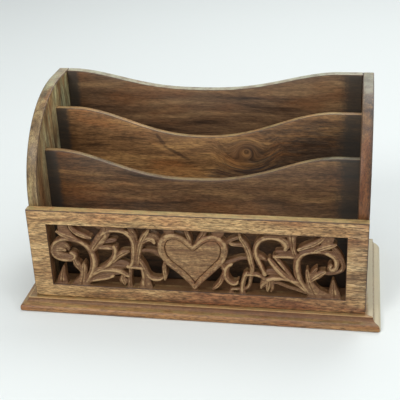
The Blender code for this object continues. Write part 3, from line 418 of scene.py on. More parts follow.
def waxed_wood(name, dark, middle, light, blush, blush_amount=0.4, grain_turn=(0, 0, 0),
               wander=0.008, bands=90.0, dash=0.25, fleck=0.6, knot_place=None, knot_radius=0.03,
               arris=0.75, hollow=0.85, stain_and_shade=HOLLOW_STAIN_AND_SHADE, top_sheen=0.7, top_sheen_colour=OLIVE_TOP_SHEEN,
               top_sheen_from=0.8, patches=()):
    """A stained and waxed wood, whose marks follow the attributes of the mesh that wears it.

    The first four colours are screen levels. They and blush_amount, wander, bands, dash and fleck
    go to the grain group. Arris, hollow and top_sheen are the strengths of those marks: the hollow
    mark paints shade over the stained hollows, and the top sheen is painted light."""
    dark, middle, light, blush = (screen_colour(*levels) for levels in (dark, middle, light, blush))
    material, tree, shader = new_material(name, ROUGHNESS)
    place = add_node(tree, "ShaderNodeTexCoord").outputs["Object"]
    around = place
    if knot_place:
        around = place_group(tree, knot, {"Vector": place, "Centre": knot_place,
                                          "Radius": knot_radius}).outputs[0]
    turned = add_node(tree, "ShaderNodeMapping", {"Vector": around, "Rotation": grain_turn})
    grain = place_group(tree, wood_grain, {
        "Vector": turned.outputs[0], "Dark": dark, "Middle": middle, "Light": light,
        "Blush": blush, "Blush Amount": blush_amount, "Wander": wander, "Band Scale": bands,
        "Dash": dash, "Fleck": fleck})
    colour = grain.outputs["Color"]
    for centre, reach, aim, amount, lean in patches:
        tint = [wanted / usual for wanted, usual in zip(aim, middle)]
        colour = place_group(tree, tone_and_light_patch, {
            "Vector": place, "Color": colour, "Tint": tint, "Amount": amount, "Centre": centre,
            "Reach": reach, "Grain": turned.outputs[0], "Lean": lean}).outputs[0]
    # Painted sheen: the faces that look up are painted pale, as if they reflected the bright backdrop.
    colour = place_group(tree, painted_top_sheen, {"Vector": place, "Color": colour,
                                           "Top Sheen": top_sheen_colour, "Amount": top_sheen,
                                           "Least Up": top_sheen_from}).outputs[0]
    # Painted end sheen, hollow stain with painted shade and rubbed ridges with painted highlights go
    # over the grain, then the stained arrises.
    for group, mark, amount in ((painted_end_sheen, END_SHEEN_COLOUR, 0.85), (hollow_stain_and_shade, stain_and_shade, hollow),
                                (rubbed_and_highlit_ridge, RUBBED_AND_HIGHLIT, 0.5), (stained_arris, ARRIS_STAIN, arris)):
        marked = place_group(tree, group, {"Vector": place, "Color": colour, "Mark": mark,
                                           "Amount": amount})
        colour = marked.outputs["Color"]
        if group is hollow_stain_and_shade:
            sunk = marked.outputs["Mask"]
    tree.links.new(colour, shader.inputs["Base Color"])
    spread = maths(tree, "SUBTRACT", grain.outputs["Figure"], 0.5)
    varied = maths(tree, "ADD", maths(tree, "MULTIPLY", spread, ROUGHNESS_SWING), ROUGHNESS)
    dulled = maths(tree, "ADD", varied, maths(tree, "MULTIPLY", sunk, STAIN_DULLS))
    tree.links.new(dulled, shader.inputs["Roughness"])
    relief = add_node(tree, "ShaderNodeBump", {"Height": grain.outputs["Height"],
                                               "Strength": 0.35, "Distance": 0.0002})
    tree.links.new(relief.outputs[0], shader.inputs["Normal"])
    shader.inputs["Specular IOR Level"].default_value = 0.36
    shader.inputs["Coat Weight"].default_value = 0.1
    shader.inputs["Coat Roughness"].default_value = 0.35
    return material


def patch(centre, reach, red, green, blue, amount, lean=0.0):
    """A patch that turns the board's middle colour to the given one.

    Sizes are in millimetres, and lean is how many degrees its right end tips down."""
    return ([value * MM for value in centre], [value * MM for value in reach],
            screen_colour(red, green, blue), amount, math.radians(-lean))


PATCHES_OF_FRONT = [patch((35, -65, 15), (110, 40, 12), 134, 90, 56, 0.85),
                    patch((112, -65, 18), (44, 40, 12), 148, 106, 70, 0.7),
                    patch((-30, -65, 96), (130, 5, 14), 190, 157, 107, 0.5),
                    patch((112, -65, 88), (60, 30, 20), 158, 120, 78, 0.8),
                    patch((146, -65, 60), (12, 30, 55), 160, 130, 92, 0.8),
                    patch((156, -65, 55), (6, 30, 70), 112, 90, 60, 0.8)]
# The first patch paints the shadow that the right side casts on the rear divider.
DIVIDER_PATCHES_AND_SHADE = [patch((125, 20, 110), (100, 10, 50), 64, 53, 45, 0.85),
                       patch((52, 20, 100), (52, 10, 16), 80, 62, 50, 0.85),
                       patch((39, 20, 128), (6, 10, 5), 84, 60, 42, 0.7),
                       patch((-43, 20, 137), (10, 10, 2.0), 66, 44, 30, 0.7, 56),
                       patch((-28, 20, 124), (17, 10, 2.2), 62, 42, 28, 0.75, 29),
                       patch((-130, -22, 115), (30, 14, 45), 92, 62, 36, 0.8),
                       patch((125, -22, 141.5), (45, 10, 2.4), 58, 54, 48, 0.85)]
# These patches paint light and shade on the sides: the right side darker, the left side paler on its
# inner face and high at the back.
SIDE_PAINTED_LIGHT_AND_SHADE = [patch((148, -33, 145), (9, 90, 85), 102, 69, 41, 0.9),
                    patch((153, -33, 145), (3.6, 90, 80), 80, 70, 56, 0.8),
                    patch((-150, 42, 165), (6.5, 40, 50), 134, 128, 96, 0.85),
                    patch((-140, 35, 155), (4, 60, 60), 172, 164, 122, 0.85),
                    patch((-142, -10, 105), (4, 120, 60), 133, 113, 82, 0.8),
                    patch((148, 35, 188), (9, 45, 14), 88, 82, 68, 0.9)]
PATCHES_OF_BACK = [patch((100, 62, 170), (80, 20, 30), 118, 90, 65, 0.8)]
PATCHES_OF_BASE = [patch((0, -67, 11), (230, 5, 3), 146, 104, 64, 0.9),
                   patch((-40, -77, 2), (230, 8, 6), 154, 110, 67, 0.9),
                   patch((110, -71, 8), (80, 10, 7), 118, 86, 58, 0.6)]
UPRIGHT_GRAIN = (0, math.radians(90), 0)
KNOT_PLACE, KNOT_RADIUS = (0.038, 0.020, 0.128), 0.036
front_wood = waxed_wood(
    "waxed_front", (120, 84, 50), (173, 137, 91), (200, 166, 117), (160, 102, 62),
    blush_amount=0.5, bands=190.0, wander=0.004, dash=0.56, fleck=0.9, arris=0.95, top_sheen=0.55,
    patches=PATCHES_OF_FRONT)
back_wood = waxed_wood(
    "waxed_back", (62, 45, 33), (106, 79, 56), (142, 110, 76), (126, 80, 46),
    blush_amount=0.45, bands=110.0, wander=0.012, dash=0.26, fleck=0.35, arris=0.9,
    stain_and_shade=SLOT_SHADE, top_sheen=0.75, top_sheen_colour=PALE_TOP_SHEEN, patches=PATCHES_OF_BACK)
divider_wood = waxed_wood(
    "waxed_divider", (58, 42, 30), (104, 76, 52), (142, 108, 72), (126, 80, 46),
    blush_amount=0.45, bands=110.0, wander=0.012, dash=0.4, fleck=0.4, arris=0.9,
    stain_and_shade=SLOT_SHADE, top_sheen=0.3, patches=DIVIDER_PATCHES_AND_SHADE)
knot_wood = waxed_wood(
    "waxed_knot_divider", (70, 48, 30), (128, 92, 58), (168, 126, 78), (150, 92, 46),
    blush_amount=0.45, bands=120.0, wander=0.012, dash=0.38, fleck=0.4, arris=0.9,
    knot_place=KNOT_PLACE, knot_radius=KNOT_RADIUS, stain_and_shade=SLOT_SHADE, top_sheen=0.4,
    patches=DIVIDER_PATCHES_AND_SHADE)
side_wood = waxed_wood(
    "waxed_sides", (70, 54, 36), (126, 102, 69), (163, 141, 98), (144, 90, 48),
    blush_amount=0.45, grain_turn=UPRIGHT_GRAIN, bands=110.0, wander=0.01, dash=0.34, fleck=0.6,
    arris=0.9, stain_and_shade=SLOT_SHADE, top_sheen=0.36, top_sheen_colour=PALE_TOP_SHEEN, top_sheen_from=0.965,
    patches=SIDE_PAINTED_LIGHT_AND_SHADE)
base_wood = waxed_wood(
    "waxed_base", (88, 56, 32), (140, 100, 58), (172, 132, 84), (142, 86, 48),
    blush_amount=0.4, bands=120.0, wander=0.005, dash=0.34, fleck=0.7, top_sheen=0.35,
    patches=PATCHES_OF_BASE)
print("Finishes:", [thing.name for thing in bpy.data.materials])

# %% [markdown]
# ## The front panel: where its carving runs
#
# The maker drills the openings, saws them out, then carves what is left: vines that scroll from
# the sill, leaves that hang from the head, and a heart in a broad border. Each is one stroke of
# the gouge, so each row below is a stroke: its name, how deep it lies (0 is the highest ridge, 1
# the deepest), its cut, and the places it passes. A place holds three shares in thousandths: how
# far across the window's half width, how far up its height, and the stroke's width as a share of
# that height. A vine is rounded with a groove along one side, a leaf has a vein down its middle,
# and a web is plain.

# %% List the strokes
LEFT_VINE = [
    ("end scroll", 0.15, "vine", [
        (-775, -40, 120), (-760, 50, 110), (-740, 130, 100), (-718, 220, 100), (-703, 310, 110),
        (-697, 410, 110), (-702, 500, 100), (-715, 580, 90), (-740, 655, 80), (-780, 715, 75),
        (-825, 750, 70), (-875, 755, 70), (-920, 735, 70), (-955, 690, 70), (-978, 620, 70),
        (-985, 540, 70), (-973, 470, 70), (-940, 425, 70), (-895, 410, 70), (-855, 420, 70),
        (-832, 455, 70), (-832, 500, 80), (-850, 525, 70)]),
    ("palmette upper", 0.50, "leaf", [
        (-975, 620, 60), (-945, 650, 90), (-915, 665, 100), (-890, 650, 90), (-872, 610, 60),
        (-868, 580, 30)]),
    ("palmette middle", 0.35, "leaf", [
        (-980, 560, 80), (-950, 575, 110), (-920, 585, 110), (-895, 570, 50)]),
    ("palmette lower", 0.30, "leaf", [
        (-975, 490, 70), (-945, 505, 100), (-915, 490, 80), (-880, 470, 80), (-850, 465, 50)]),
    ("beak leaf", 0.10, "leaf", [
        (-800, 745, 60), (-835, 785, 100), (-870, 810, 120), (-905, 840, 100), (-937, 880, 30)]),
    ("beak root", 0.40, "web", [
        (-855, 820, 120), (-878, 880, 150), (-893, 940, 150), (-890, 1040, 130)]),
    ("hanging leaf", 0.05, "leaf", [
        (-845, 1040, 50), (-838, 965, 60), (-820, 910, 80), (-790, 860, 90), (-752, 825, 90),
        (-722, 805, 60), (-702, 800, 30)]),
    ("acanthus", 0.10, "leaf", [
        (-690, 620, 100), (-665, 700, 140), (-640, 770, 160), (-615, 840, 150), (-598, 900, 140),
        (-590, 960, 140), (-600, 1040, 140)]),
    ("arch", 0.0, "vine", [
        (-630, 860, 60), (-600, 905, 70), (-560, 935, 75), (-515, 940, 75), (-475, 925, 75),
        (-445, 885, 75), (-422, 830, 80), (-411, 760, 85), (-408, 680, 90), (-410, 600, 95),
        (-413, 520, 90), (-420, 440, 80), (-435, 370, 60)]),
    ("arch web", 0.75, "web", [
        (-650, 985, 80), (-560, 985, 80), (-475, 990, 60)]),
    ("outer leaf", 0.55, "leaf", [
        (-435, 1040, 80), (-425, 960, 90), (-410, 900, 80), (-398, 840, 70), (-392, 770, 60),
        (-392, 700, 50)]),
    ("curl leaf", 0.75, "leaf", [
        (-620, 730, 60), (-585, 745, 80), (-555, 760, 80), (-533, 775, 40)]),
    ("bridge", 0.40, "vine", [
        (-700, 655, 70), (-660, 645, 80), (-610, 640, 85), (-565, 640, 80), (-535, 655, 50)]),
    ("rising vine", 0.15, "vine", [
        (-710, 200, 50), (-675, 265, 60), (-635, 305, 70), (-605, 350, 75), (-580, 410, 75),
        (-558, 475, 80), (-545, 540, 80), (-540, 600, 80), (-545, 660, 60)]),
    ("vine leaf", 0.30, "leaf", [
        (-560, 420, 50), (-535, 480, 80), (-510, 530, 100), (-485, 565, 100), (-460, 590, 70),
        (-443, 605, 30)]),
    ("shadow leaf", 0.85, "leaf", [
        (-610, 325, 50), (-570, 345, 110), (-520, 360, 150), (-475, 355, 130), (-440, 345, 80)]),
    ("lower scroll", 0.15, "vine", [
        (-735, 140, 50), (-700, 200, 60), (-665, 245, 65), (-630, 270, 65), (-585, 275, 65),
        (-540, 265, 65), (-505, 240, 75), (-480, 210, 70), (-462, 185, 40)]),
    ("lower leaf", 0.70, "leaf", [
        (-745, 100, 60), (-690, 155, 100), (-630, 200, 110), (-575, 215, 90), (-530, 215, 50)]),
    ("lower stem", 0.30, "vine", [
        (-765, 50, 60), (-710, 85, 60), (-655, 110, 65), (-605, 140, 65), (-570, 170, 40)]),
    ("bud", 0.10, "leaf", [
        (-490, 210, 60), (-500, 165, 80), (-500, 120, 130), (-492, 80, 100), (-490, 50, 30)]),
    ("knob", 0.20, "vine", [
        (-460, 345, 50), (-430, 345, 75), (-395, 345, 90), (-370, 335, 80), (-358, 325, 30)]),
    ("outer post", 0.50, "vine", [
        (-445, 360, 60), (-447, 250, 55), (-455, 140, 60), (-460, -40, 90)]),
    ("inner post", 0.30, "vine", [
        (-365, 340, 60), (-355, 250, 80), (-353, 160, 80), (-360, 80, 100), (-360, -40, 160)]),
    ("tall leaf", 0.10, "leaf", [
        (-395, 380, 50), (-390, 460, 70), (-383, 550, 80), (-375, 630, 80), (-365, 710, 85),
        (-352, 780, 90), (-336, 850, 90), (-317, 915, 60), (-300, 975, 35), (-295, 1040, 30)]),
    ("claw", 0.05, "leaf", [
        (-350, 760, 60), (-325, 800, 80), (-300, 820, 85), (-278, 805, 75), (-265, 770, 40)]),
    ("shoulder leaf", 0.60, "leaf", [
        (-320, 910, 50), (-290, 885, 60), (-262, 860, 70), (-242, 810, 70), (-235, 750, 50)]),
    ("cross vine", 0.90, "vine", [
        (-225, 530, 70), (-255, 585, 90), (-290, 615, 70), (-330, 620, 60), (-375, 600, 50)]),
    ("inner scroll", 0.35, "vine", [
        (-385, 500, 50), (-365, 420, 70), (-345, 340, 70), (-333, 260, 65), (-315, 190, 70),
        (-285, 155, 80), (-250, 155, 70), (-222, 190, 40)]),
    ("scroll foot", 0.50, "web", [
        (-330, 180, 70), (-330, 80, 100), (-330, -40, 160)]),
    ("drop leaf", 0.10, "leaf", [
        (-200, 450, 50), (-208, 380, 65), (-207, 300, 70), (-204, 230, 70), (-207, 170, 30)]),
    ("scalloped leaf", 0.05, "leaf", [
        (-800, -40, 220), (-795, 40, 180), (-785, 120, 120), (-778, 200, 110), (-775, 270, 110),
        (-770, 330, 80), (-768, 370, 30)]),
    ("scallop", 0.05, "leaf", [
        (-785, 220, 70), (-800, 280, 90), (-818, 335, 110), (-828, 380, 80), (-832, 430, 50)]),
    ("leaf foot", 0.40, "web", [
        (-790, 70, 100), (-830, 20, 100), (-860, -40, 80)]),
    ("sprout", 0.60, "leaf", [
        (-940, -40, 170), (-940, 50, 150), (-935, 130, 110), (-926, 210, 70), (-917, 290, 30)]),
]

HEART_SUPPORTS = [
    ("foot", 0.50, "vine", [
        (-5, 120, 60), (-5, -40, 100)]),
    ("valley leaf left", 0.20, "leaf", [
        (-20, 800, 50), (-30, 870, 65), (-42, 940, 65), (-50, 1040, 70)]),
    ("valley leaf right", 0.30, "leaf", [
        (20, 790, 50), (45, 870, 80), (68, 940, 90), (80, 1040, 100)]),
    ("shoulder web left", 0.70, "web", [
        (-160, 890, 100), (-163, 960, 160), (-165, 1040, 180)]),
    ("shoulder web right", 0.60, "web", [
        (150, 890, 100), (160, 960, 180), (165, 1040, 200)]),
]

RIGHT_VINE = [
    ("end scroll", 0.15, "vine", [
        (805, -40, 120), (775, 50, 100), (745, 120, 90), (720, 190, 85), (700, 270, 90),
        (687, 360, 100), (680, 450, 100), (680, 540, 100), (690, 620, 90), (713, 685, 80),
        (750, 725, 75), (800, 745, 70), (850, 740, 70), (885, 715, 60)]),
    ("outer ring", 0.60, "vine", [
        (850, 745, 60), (910, 720, 70), (945, 670, 70), (970, 600, 70), (980, 530, 70),
        (970, 460, 70), (935, 420, 65), (890, 400, 65), (845, 405, 50)]),
    ("volute", 0.0, "vine", [
        (875, 725, 50), (912, 680, 65), (932, 620, 75), (937, 560, 80), (930, 500, 75),
        (908, 465, 70), (892, 495, 60), (900, 540, 60)]),
    ("hanging leaf", 0.10, "leaf", [
        (690, 765, 40), (725, 800, 70), (765, 835, 90), (800, 875, 90), (830, 925, 80),
        (850, 980, 60), (860, 1040, 50)]),
    ("under leaf", 0.50, "leaf", [
        (700, 735, 50), (750, 775, 80), (800, 800, 90), (840, 800, 80)]),
    ("beak leaf", 0.05, "leaf", [
        (800, 755, 60), (840, 800, 100), (880, 835, 100), (910, 855, 70), (930, 875, 30)]),
    ("beak root", 0.40, "web", [
        (850, 810, 100), (868, 880, 140), (882, 950, 150), (885, 1040, 140)]),
    ("fall leaf", 0.70, "leaf", [
        (905, 830, 50), (925, 770, 80), (950, 700, 80), (975, 630, 50)]),
    ("acanthus", 0.35, "leaf", [
        (685, 600, 80), (665, 680, 90), (655, 760, 90), (650, 840, 100), (645, 920, 120),
        (645, 1040, 160)]),
    ("arch", 0.0, "vine", [
        (470, 335, 50), (458, 400, 60), (445, 470, 70), (430, 540, 75), (417, 610, 80),
        (410, 680, 80), (410, 750, 75), (420, 820, 75), (440, 880, 75), (472, 920, 75),
        (515, 935, 75), (555, 925, 80), (585, 895, 100), (603, 850, 115), (610, 800, 100),
        (605, 760, 50)]),
    ("arch web", 0.75, "web", [
        (460, 990, 50), (520, 985, 80), (600, 980, 80), (660, 985, 100)]),
    ("arch leaf", 0.50, "leaf", [
        (410, 650, 60), (435, 620, 70), (460, 590, 60), (480, 565, 30)]),
    ("curl leaf", 0.75, "leaf", [
        (548, 700, 50), (580, 700, 75), (620, 700, 70), (660, 700, 60)]),
    ("bridge", 0.40, "vine", [
        (530, 625, 40), (560, 635, 60), (600, 640, 70), (640, 640, 70), (680, 630, 60)]),
    ("rising vine", 0.10, "vine", [
        (500, 590, 50), (515, 540, 80), (535, 480, 85), (560, 415, 85), (590, 345, 85),
        (625, 285, 80), (665, 235, 75), (705, 175, 70), (740, 110, 60)]),
    ("twin vine", 0.50, "vine", [
        (530, 640, 40), (548, 590, 60), (570, 530, 65), (594, 460, 60), (620, 385, 55),
        (645, 310, 50), (670, 250, 40)]),
    ("shadow leaf", 0.85, "leaf", [
        (460, 335, 50), (490, 355, 100), (530, 360, 120), (575, 350, 80)]),
    ("lower scroll", 0.10, "vine", [
        (690, 235, 40), (650, 255, 55), (600, 275, 60), (550, 275, 65), (505, 255, 90),
        (475, 210, 120), (455, 160, 90), (445, 120, 30)]),
    ("bud", 0.05, "leaf", [
        (495, 250, 60), (495, 190, 100), (490, 130, 80), (488, 80, 30)]),
    ("lower leaf", 0.60, "leaf", [
        (520, 200, 40), (555, 200, 55), (590, 175, 50), (630, 140, 50), (680, 110, 60),
        (740, 70, 80)]),
    ("spur", 0.50, "vine", [
        (515, 240, 40), (522, 170, 45), (520, 110, 45), (512, 60, 30)]),
    ("knob", 0.20, "vine", [
        (335, 315, 50), (375, 325, 70), (415, 325, 75), (445, 300, 60), (465, 265, 50)]),
    ("inner post", 0.15, "vine", [
        (350, 340, 60), (335, 270, 70), (325, 190, 75), (320, 110, 70), (320, -40, 100)]),
    ("hook", 0.40, "vine", [
        (380, 330, 50), (375, 250, 55), (370, 170, 55), (355, 100, 55), (325, 70, 50),
        (285, 65, 45), (250, 50, 60), (240, -40, 90)]),
    ("tall leaf", 0.10, "leaf", [
        (385, 360, 60), (388, 440, 75), (380, 520, 85), (373, 600, 95), (365, 680, 95),
        (352, 760, 90), (335, 830, 80), (317, 890, 55), (308, 950, 35), (305, 1040, 30)]),
    ("claw", 0.20, "leaf", [
        (345, 780, 60), (315, 795, 60), (285, 795, 55), (260, 800, 50), (243, 810, 30)]),
    ("shoulder leaf", 0.60, "leaf", [
        (310, 920, 40), (280, 890, 55), (250, 860, 60), (225, 820, 60), (210, 770, 50)]),
    ("cross vine", 0.80, "vine", [
        (195, 485, 60), (235, 500, 70), (275, 535, 70), (315, 570, 60), (360, 580, 50)]),
    ("inner scroll", 0.10, "vine", [
        (250, 475, 30), (230, 445, 60), (213, 390, 85), (206, 320, 90), (212, 250, 90),
        (230, 190, 80), (255, 155, 75), (280, 165, 60), (290, 200, 30)]),
    ("scroll root", 0.30, "vine", [
        (160, 490, 60), (188, 440, 80), (200, 380, 80)]),
    ("drop leaf", 0.05, "leaf", [
        (195, 320, 40), (187, 260, 60), (177, 190, 70), (160, 130, 70), (140, 85, 60),
        (122, 60, 30)]),
    ("scalloped leaf", 0.10, "leaf", [
        (815, -40, 260), (800, 50, 220), (785, 130, 160), (770, 200, 120), (762, 270, 100),
        (755, 340, 80), (750, 400, 60), (748, 450, 30)]),
    ("scallop", 0.05, "leaf", [
        (770, 270, 70), (795, 320, 90), (820, 360, 100), (842, 400, 90), (862, 425, 50)]),
    ("scallop upper", 0.30, "leaf", [
        (765, 330, 60), (785, 390, 70), (800, 440, 60), (810, 475, 30)]),
    ("leaf foot", 0.40, "web", [
        (790, 110, 100), (830, 70, 110), (870, 30, 100), (910, -40, 80)]),
    ("sprout", 0.60, "leaf", [
        (927, -40, 200), (927, 50, 170), (923, 130, 120), (920, 200, 80), (918, 280, 30)]),
]

HEART_LEFT = [
    (-5, 60, 60), (-30, 155, 85), (-70, 255, 90), (-110, 340, 90), (-150, 410, 95), (-182, 480, 95),
    (-206, 560, 95), (-218, 640, 100), (-220, 720, 100), (-209, 800, 95), (-183, 860, 90),
    (-147, 890, 85), (-110, 885, 80), (-75, 850, 80), (-40, 785, 75), (-10, 715, 70),
]

HEART_RIGHT = [
    (-5, 60, 60), (35, 175, 80), (70, 260, 85), (105, 340, 90), (140, 420, 90), (170, 490, 90),
    (192, 570, 90), (203, 650, 95), (205, 730, 95), (195, 800, 95), (170, 860, 90), (135, 890, 85),
    (100, 880, 80), (65, 845, 80), (30, 780, 75), (-5, 710, 70),
]
print(len(LEFT_VINE) + len(RIGHT_VINE) + len(HEART_SUPPORTS), "strokes round the heart")

# %% [markdown]
# ## The front panel: how a stroke is cut
#
# The relief is a height map, which suits a panel that is carved from one side only. Every stroke
# is drawn as a smooth line, and each point of the panel is compared with the line: how far inside
# the stroke it lies says where there is wood, and how far across says how deep the gouge went.
# Where strokes cross, the higher one wins, so vines pass over and under each other. NumPy does
# this for a hundred thousand points at once.


# %% Draw strokes and measure points against them
def box_sizes(node):
    """The lowest corner, the highest corner and the size of a CAD node's box."""
    low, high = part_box(node)
    return low, high, high - low


panel_low, panel_high, panel_size = box_sizes("front_panel")
WINDOW_STILE = 18.2 * MM
WINDOW_SILL = 13.5 * MM
WINDOW_HEAD = 14.0 * MM
GLUE_JOINT = 0.3 * MM
LINE_STEP = 0.8 * MM
NARROWEST = 0.2 * MM
window_half = panel_size.x / 2 - WINDOW_STILE
window_low = panel_low.z - GLUE_JOINT + WINDOW_SILL
window_high = panel_high.z - WINDOW_HEAD
window_height = window_high - window_low
print(f"Window {window_half * 2 / MM:.0f} by {window_height / MM:.0f} mm")


def smooth_line(places):
    """A curve through the places, as rows of x, z and half width in metres."""
    knots = np.array([(u * window_half, window_low + v * window_height, w * window_height / 2)
                      for u, v, w in np.array(places) / 1000])
    padded = np.vstack((2 * knots[0] - knots[1], knots, 2 * knots[-1] - knots[-2]))
    rows = []
    for before, here, there, after in zip(padded, padded[1:], padded[2:], padded[3:]):
        count = max(2, int(np.hypot(*(there - here)[:2]) / LINE_STEP))
        t = np.arange(count)[:, None] / count
        rows.append(0.5 * (2 * here + (there - before) * t
                           + (2 * before - 5 * here + 4 * there - after) * t ** 2
                           + (3 * here - before - 3 * there + after) * t ** 3))
    rows.append(knots[-1:])
    return np.vstack(rows)


def measure_line(x, z, line):
    """Distance to the line, the half width there, and which side of the line a point is on."""
    nearest = np.full(x.shape, np.inf)
    half_width = np.full(x.shape, line[0, 2])
    side = np.ones(x.shape)
    for start, end in zip(line, line[1:]):
        run = end - start
        length_squared = max(run[0] ** 2 + run[1] ** 2, 1e-12)
        t = np.clip(((x - start[0]) * run[0] + (z - start[1]) * run[1]) / length_squared, 0, 1)
        across_x = x - start[0] - t * run[0]
        across_z = z - start[1] - t * run[1]
        distance = np.hypot(across_x, across_z)
        closer = distance < nearest
        nearest = np.where(closer, distance, nearest)
        half_width = np.where(closer, start[2] + t * run[2], half_width)
        side = np.where(closer, np.sign(run[0] * across_z - run[1] * across_x), side)
    return nearest, np.maximum(half_width, NARROWEST), side


# %% [markdown]
# ## The front panel: the gouge's cuts
#
# Across a stroke, a rounded profile falls away from the middle and then drops steeply at the
# side. A leaf gets a narrow V down its middle, a vine a V beside its ridge. The heart's border is
# flatter, and inside it the heart rises again behind a V cut, like a small cushion.

# %% Set the depth across each kind of stroke
RECESS = 0.5 * MM
DROP = 2.6 * MM
CROWN = 1.7 * MM
STEEPNESS = 2.6
BLEND = 0.5 * MM
FAR = 4.0 * MM
DEEPEST = 5.2 * MM
FULL_CROWN_HALF = 2.4 * MM
VEIN_HALF, VEIN_DEPTH = 0.75 * MM, 1.0 * MM
GROOVE_HALF, GROOVE_DEPTH = 0.65 * MM, 0.85 * MM
GROOVE_SHARE = 0.42
GROOVE_FROM, GROOVE_GROWTH = 1.2 * MM, 0.7 * MM
BORDER_FALL = 0.8 * MM


def v_cut(offset, half_width, depth):
    """A V groove: full depth at offset 0, nothing beyond its half width."""
    return depth * np.clip(1 - np.abs(offset) / half_width, 0, 1)


def cut_profile(kind, distance, half_width, side):
    """How deep the gouge goes across a stroke. Only a vine wide enough for it has a groove."""
    inside = np.minimum(distance / half_width, 1)
    fall = CROWN * np.minimum(half_width / FULL_CROWN_HALF, 1.0)
    if kind == "leaf":
        depth = fall * inside ** 2 + v_cut(distance, VEIN_HALF, VEIN_DEPTH)
    elif kind == "vine":
        groove = distance * side - GROOVE_SHARE * half_width
        wide_enough = np.clip((half_width - GROOVE_FROM) / GROOVE_GROWTH, 0, 1)
        depth = fall * inside ** 2.4 + v_cut(groove, GROOVE_HALF, GROOVE_DEPTH) * wide_enough
    elif kind == "border":
        depth = BORDER_FALL * inside ** 3
    else:
        depth = 0.5 * fall * inside ** 2
    return depth + STEEPNESS * np.maximum(distance - half_width, 0)


strokes = [(depth, kind, smooth_line(places))
           for name, depth, kind, places in [*LEFT_VINE, *HEART_SUPPORTS, *RIGHT_VINE]]
heart_halves = [smooth_line(places) for places in (HEART_LEFT, HEART_RIGHT)]
strokes += [(0.0, "border", line) for line in heart_halves]
heart_loop = np.vstack((heart_halves[1][:, :2], heart_halves[0][::-1, :2]))


def inside_loop(x, z, loop):
    """True inside a closed loop of points: an odd number of its edges lie to the right."""
    inside = np.zeros(x.shape, bool)
    for (x0, z0), (x1, z1) in zip(loop, np.roll(loop, -1, axis=0)):
        crosses = (z0 > z) != (z1 > z)
        if z1 != z0:
            inside ^= crosses & (x < x0 + (z - z0) * (x1 - x0) / (z1 - z0))
    return inside


def rounded(distance, radius):
    """How far a rounded arris falls away, from its radius at the edge to nothing inside."""
    reach = np.clip(radius - distance, 0, radius)
    return radius - np.sqrt(np.maximum(radius ** 2 - reach ** 2, 0))


ARRIS = 0.9 * MM
WINDOW_ARRIS = 0.7 * MM
HEART_LEVEL = 1.0 * MM
HEART_GROOVE_HALF, HEART_GROOVE = 0.75 * MM, 1.1 * MM
CUSHION_RISE, CUSHION_REACH = 0.5 * MM, 2.5 * MM


def carve(x, z):
    """For points on the panel's face: how far inside the wood, and how deep below the face."""
    out_of_window = np.maximum(np.abs(x) - window_half,
                               np.maximum(window_low - z, z - window_high))
    solid = out_of_window.copy()
    depth = rounded(out_of_window, WINDOW_ARRIS) + STEEPNESS * np.maximum(-out_of_window, 0)
    for level, kind, line in strokes:
        reach = line[:, 2].max() + FAR
        near = ((x > line[:, 0].min() - reach) & (x < line[:, 0].max() + reach)
                & (z > line[:, 1].min() - reach) & (z < line[:, 1].max() + reach)
                & (out_of_window < FAR))
        distance, half_width, side = measure_line(x[near], z[near], line)
        inside = half_width - distance
        old = solid[near]
        closeness = np.maximum(BLEND - np.abs(old - inside), 0) / BLEND
        solid[near] = np.maximum(old, inside) + closeness ** 2 * BLEND / 4
        cut = RECESS + DROP * level + cut_profile(kind, distance, half_width, side)
        depth[near] = np.minimum(depth[near], cut)
    in_heart = inside_loop(x, z, heart_loop)
    border = [measure_line(x[in_heart], z[in_heart], line)[:2] for line in heart_halves]
    from_border = np.minimum.reduce([distance - half_width for distance, half_width in border])
    cushion = HEART_LEVEL + CUSHION_RISE * np.exp(-np.maximum(from_border, 0) / CUSHION_REACH)
    field = RECESS + cushion + v_cut(from_border, HEART_GROOVE_HALF, HEART_GROOVE)
    solid[in_heart] = np.maximum(solid[in_heart], 2 * MM)
    depth[in_heart] = np.where(from_border < 0, np.minimum(depth[in_heart], field), field)
    to_edge = np.minimum(panel_size.x / 2 - np.abs(x), np.minimum(z - panel_low.z,
                                                                   panel_high.z - z))
    depth = np.where(out_of_window > FAR, rounded(to_edge, ARRIS), depth)
    return solid, np.minimum(depth, DEEPEST)


print(len(strokes), "strokes drawn")

# %% [markdown]
# ## The front panel: from height map to mesh
#
# The face becomes a grid, fine in the window and coarse on the plain frame. Marching squares then
# cuts the grid along the openings: a cell that lies wholly in the wood stays whole, and one that
# the edge crosses is trimmed to it. The same outline gives the walls of the openings and the flat
# back, so the panel is one closed solid.

# %% Build the carved panel
PITCH = 0.45 * MM
FRAME_CLEAR = 3.5 * MM
FRAME_LINES = 4


def grid_lines(low, high, window_from, window_to):
    """Lines close together at the arrises and in the window, and far apart on the frame."""
    arris_steps = np.array([0, 0.04, 0.16, 0.42, 0.9, 1.7]) * MM
    rim_steps = np.array([1.6, 0.7, 0.42, 0.16, 0]) * MM
    count = round((window_to - window_from) / PITCH)
    frame_low = np.linspace(low + FRAME_CLEAR, window_from - FRAME_CLEAR, FRAME_LINES)
    frame_high = np.linspace(window_to + FRAME_CLEAR, high - FRAME_CLEAR, FRAME_LINES)
    return np.concatenate((low + arris_steps, frame_low, window_from - rim_steps[:-1],
                           np.linspace(window_from, window_to, count + 1),
                           window_to + rim_steps[-2::-1], frame_high, high - arris_steps[::-1]))


columns = grid_lines(panel_low.x, panel_high.x, -window_half, window_half)
rows = grid_lines(panel_low.z, panel_high.z, window_low, window_high)
grid_x, grid_z = np.meshgrid(columns, rows)
grid_solid, grid_depth = (field.reshape(grid_x.shape)
                          for field in carve(grid_x.ravel(), grid_z.ravel()))
print("Grid", grid_x.shape, f"wood {np.mean(grid_solid > 0) * 100:.0f}%")


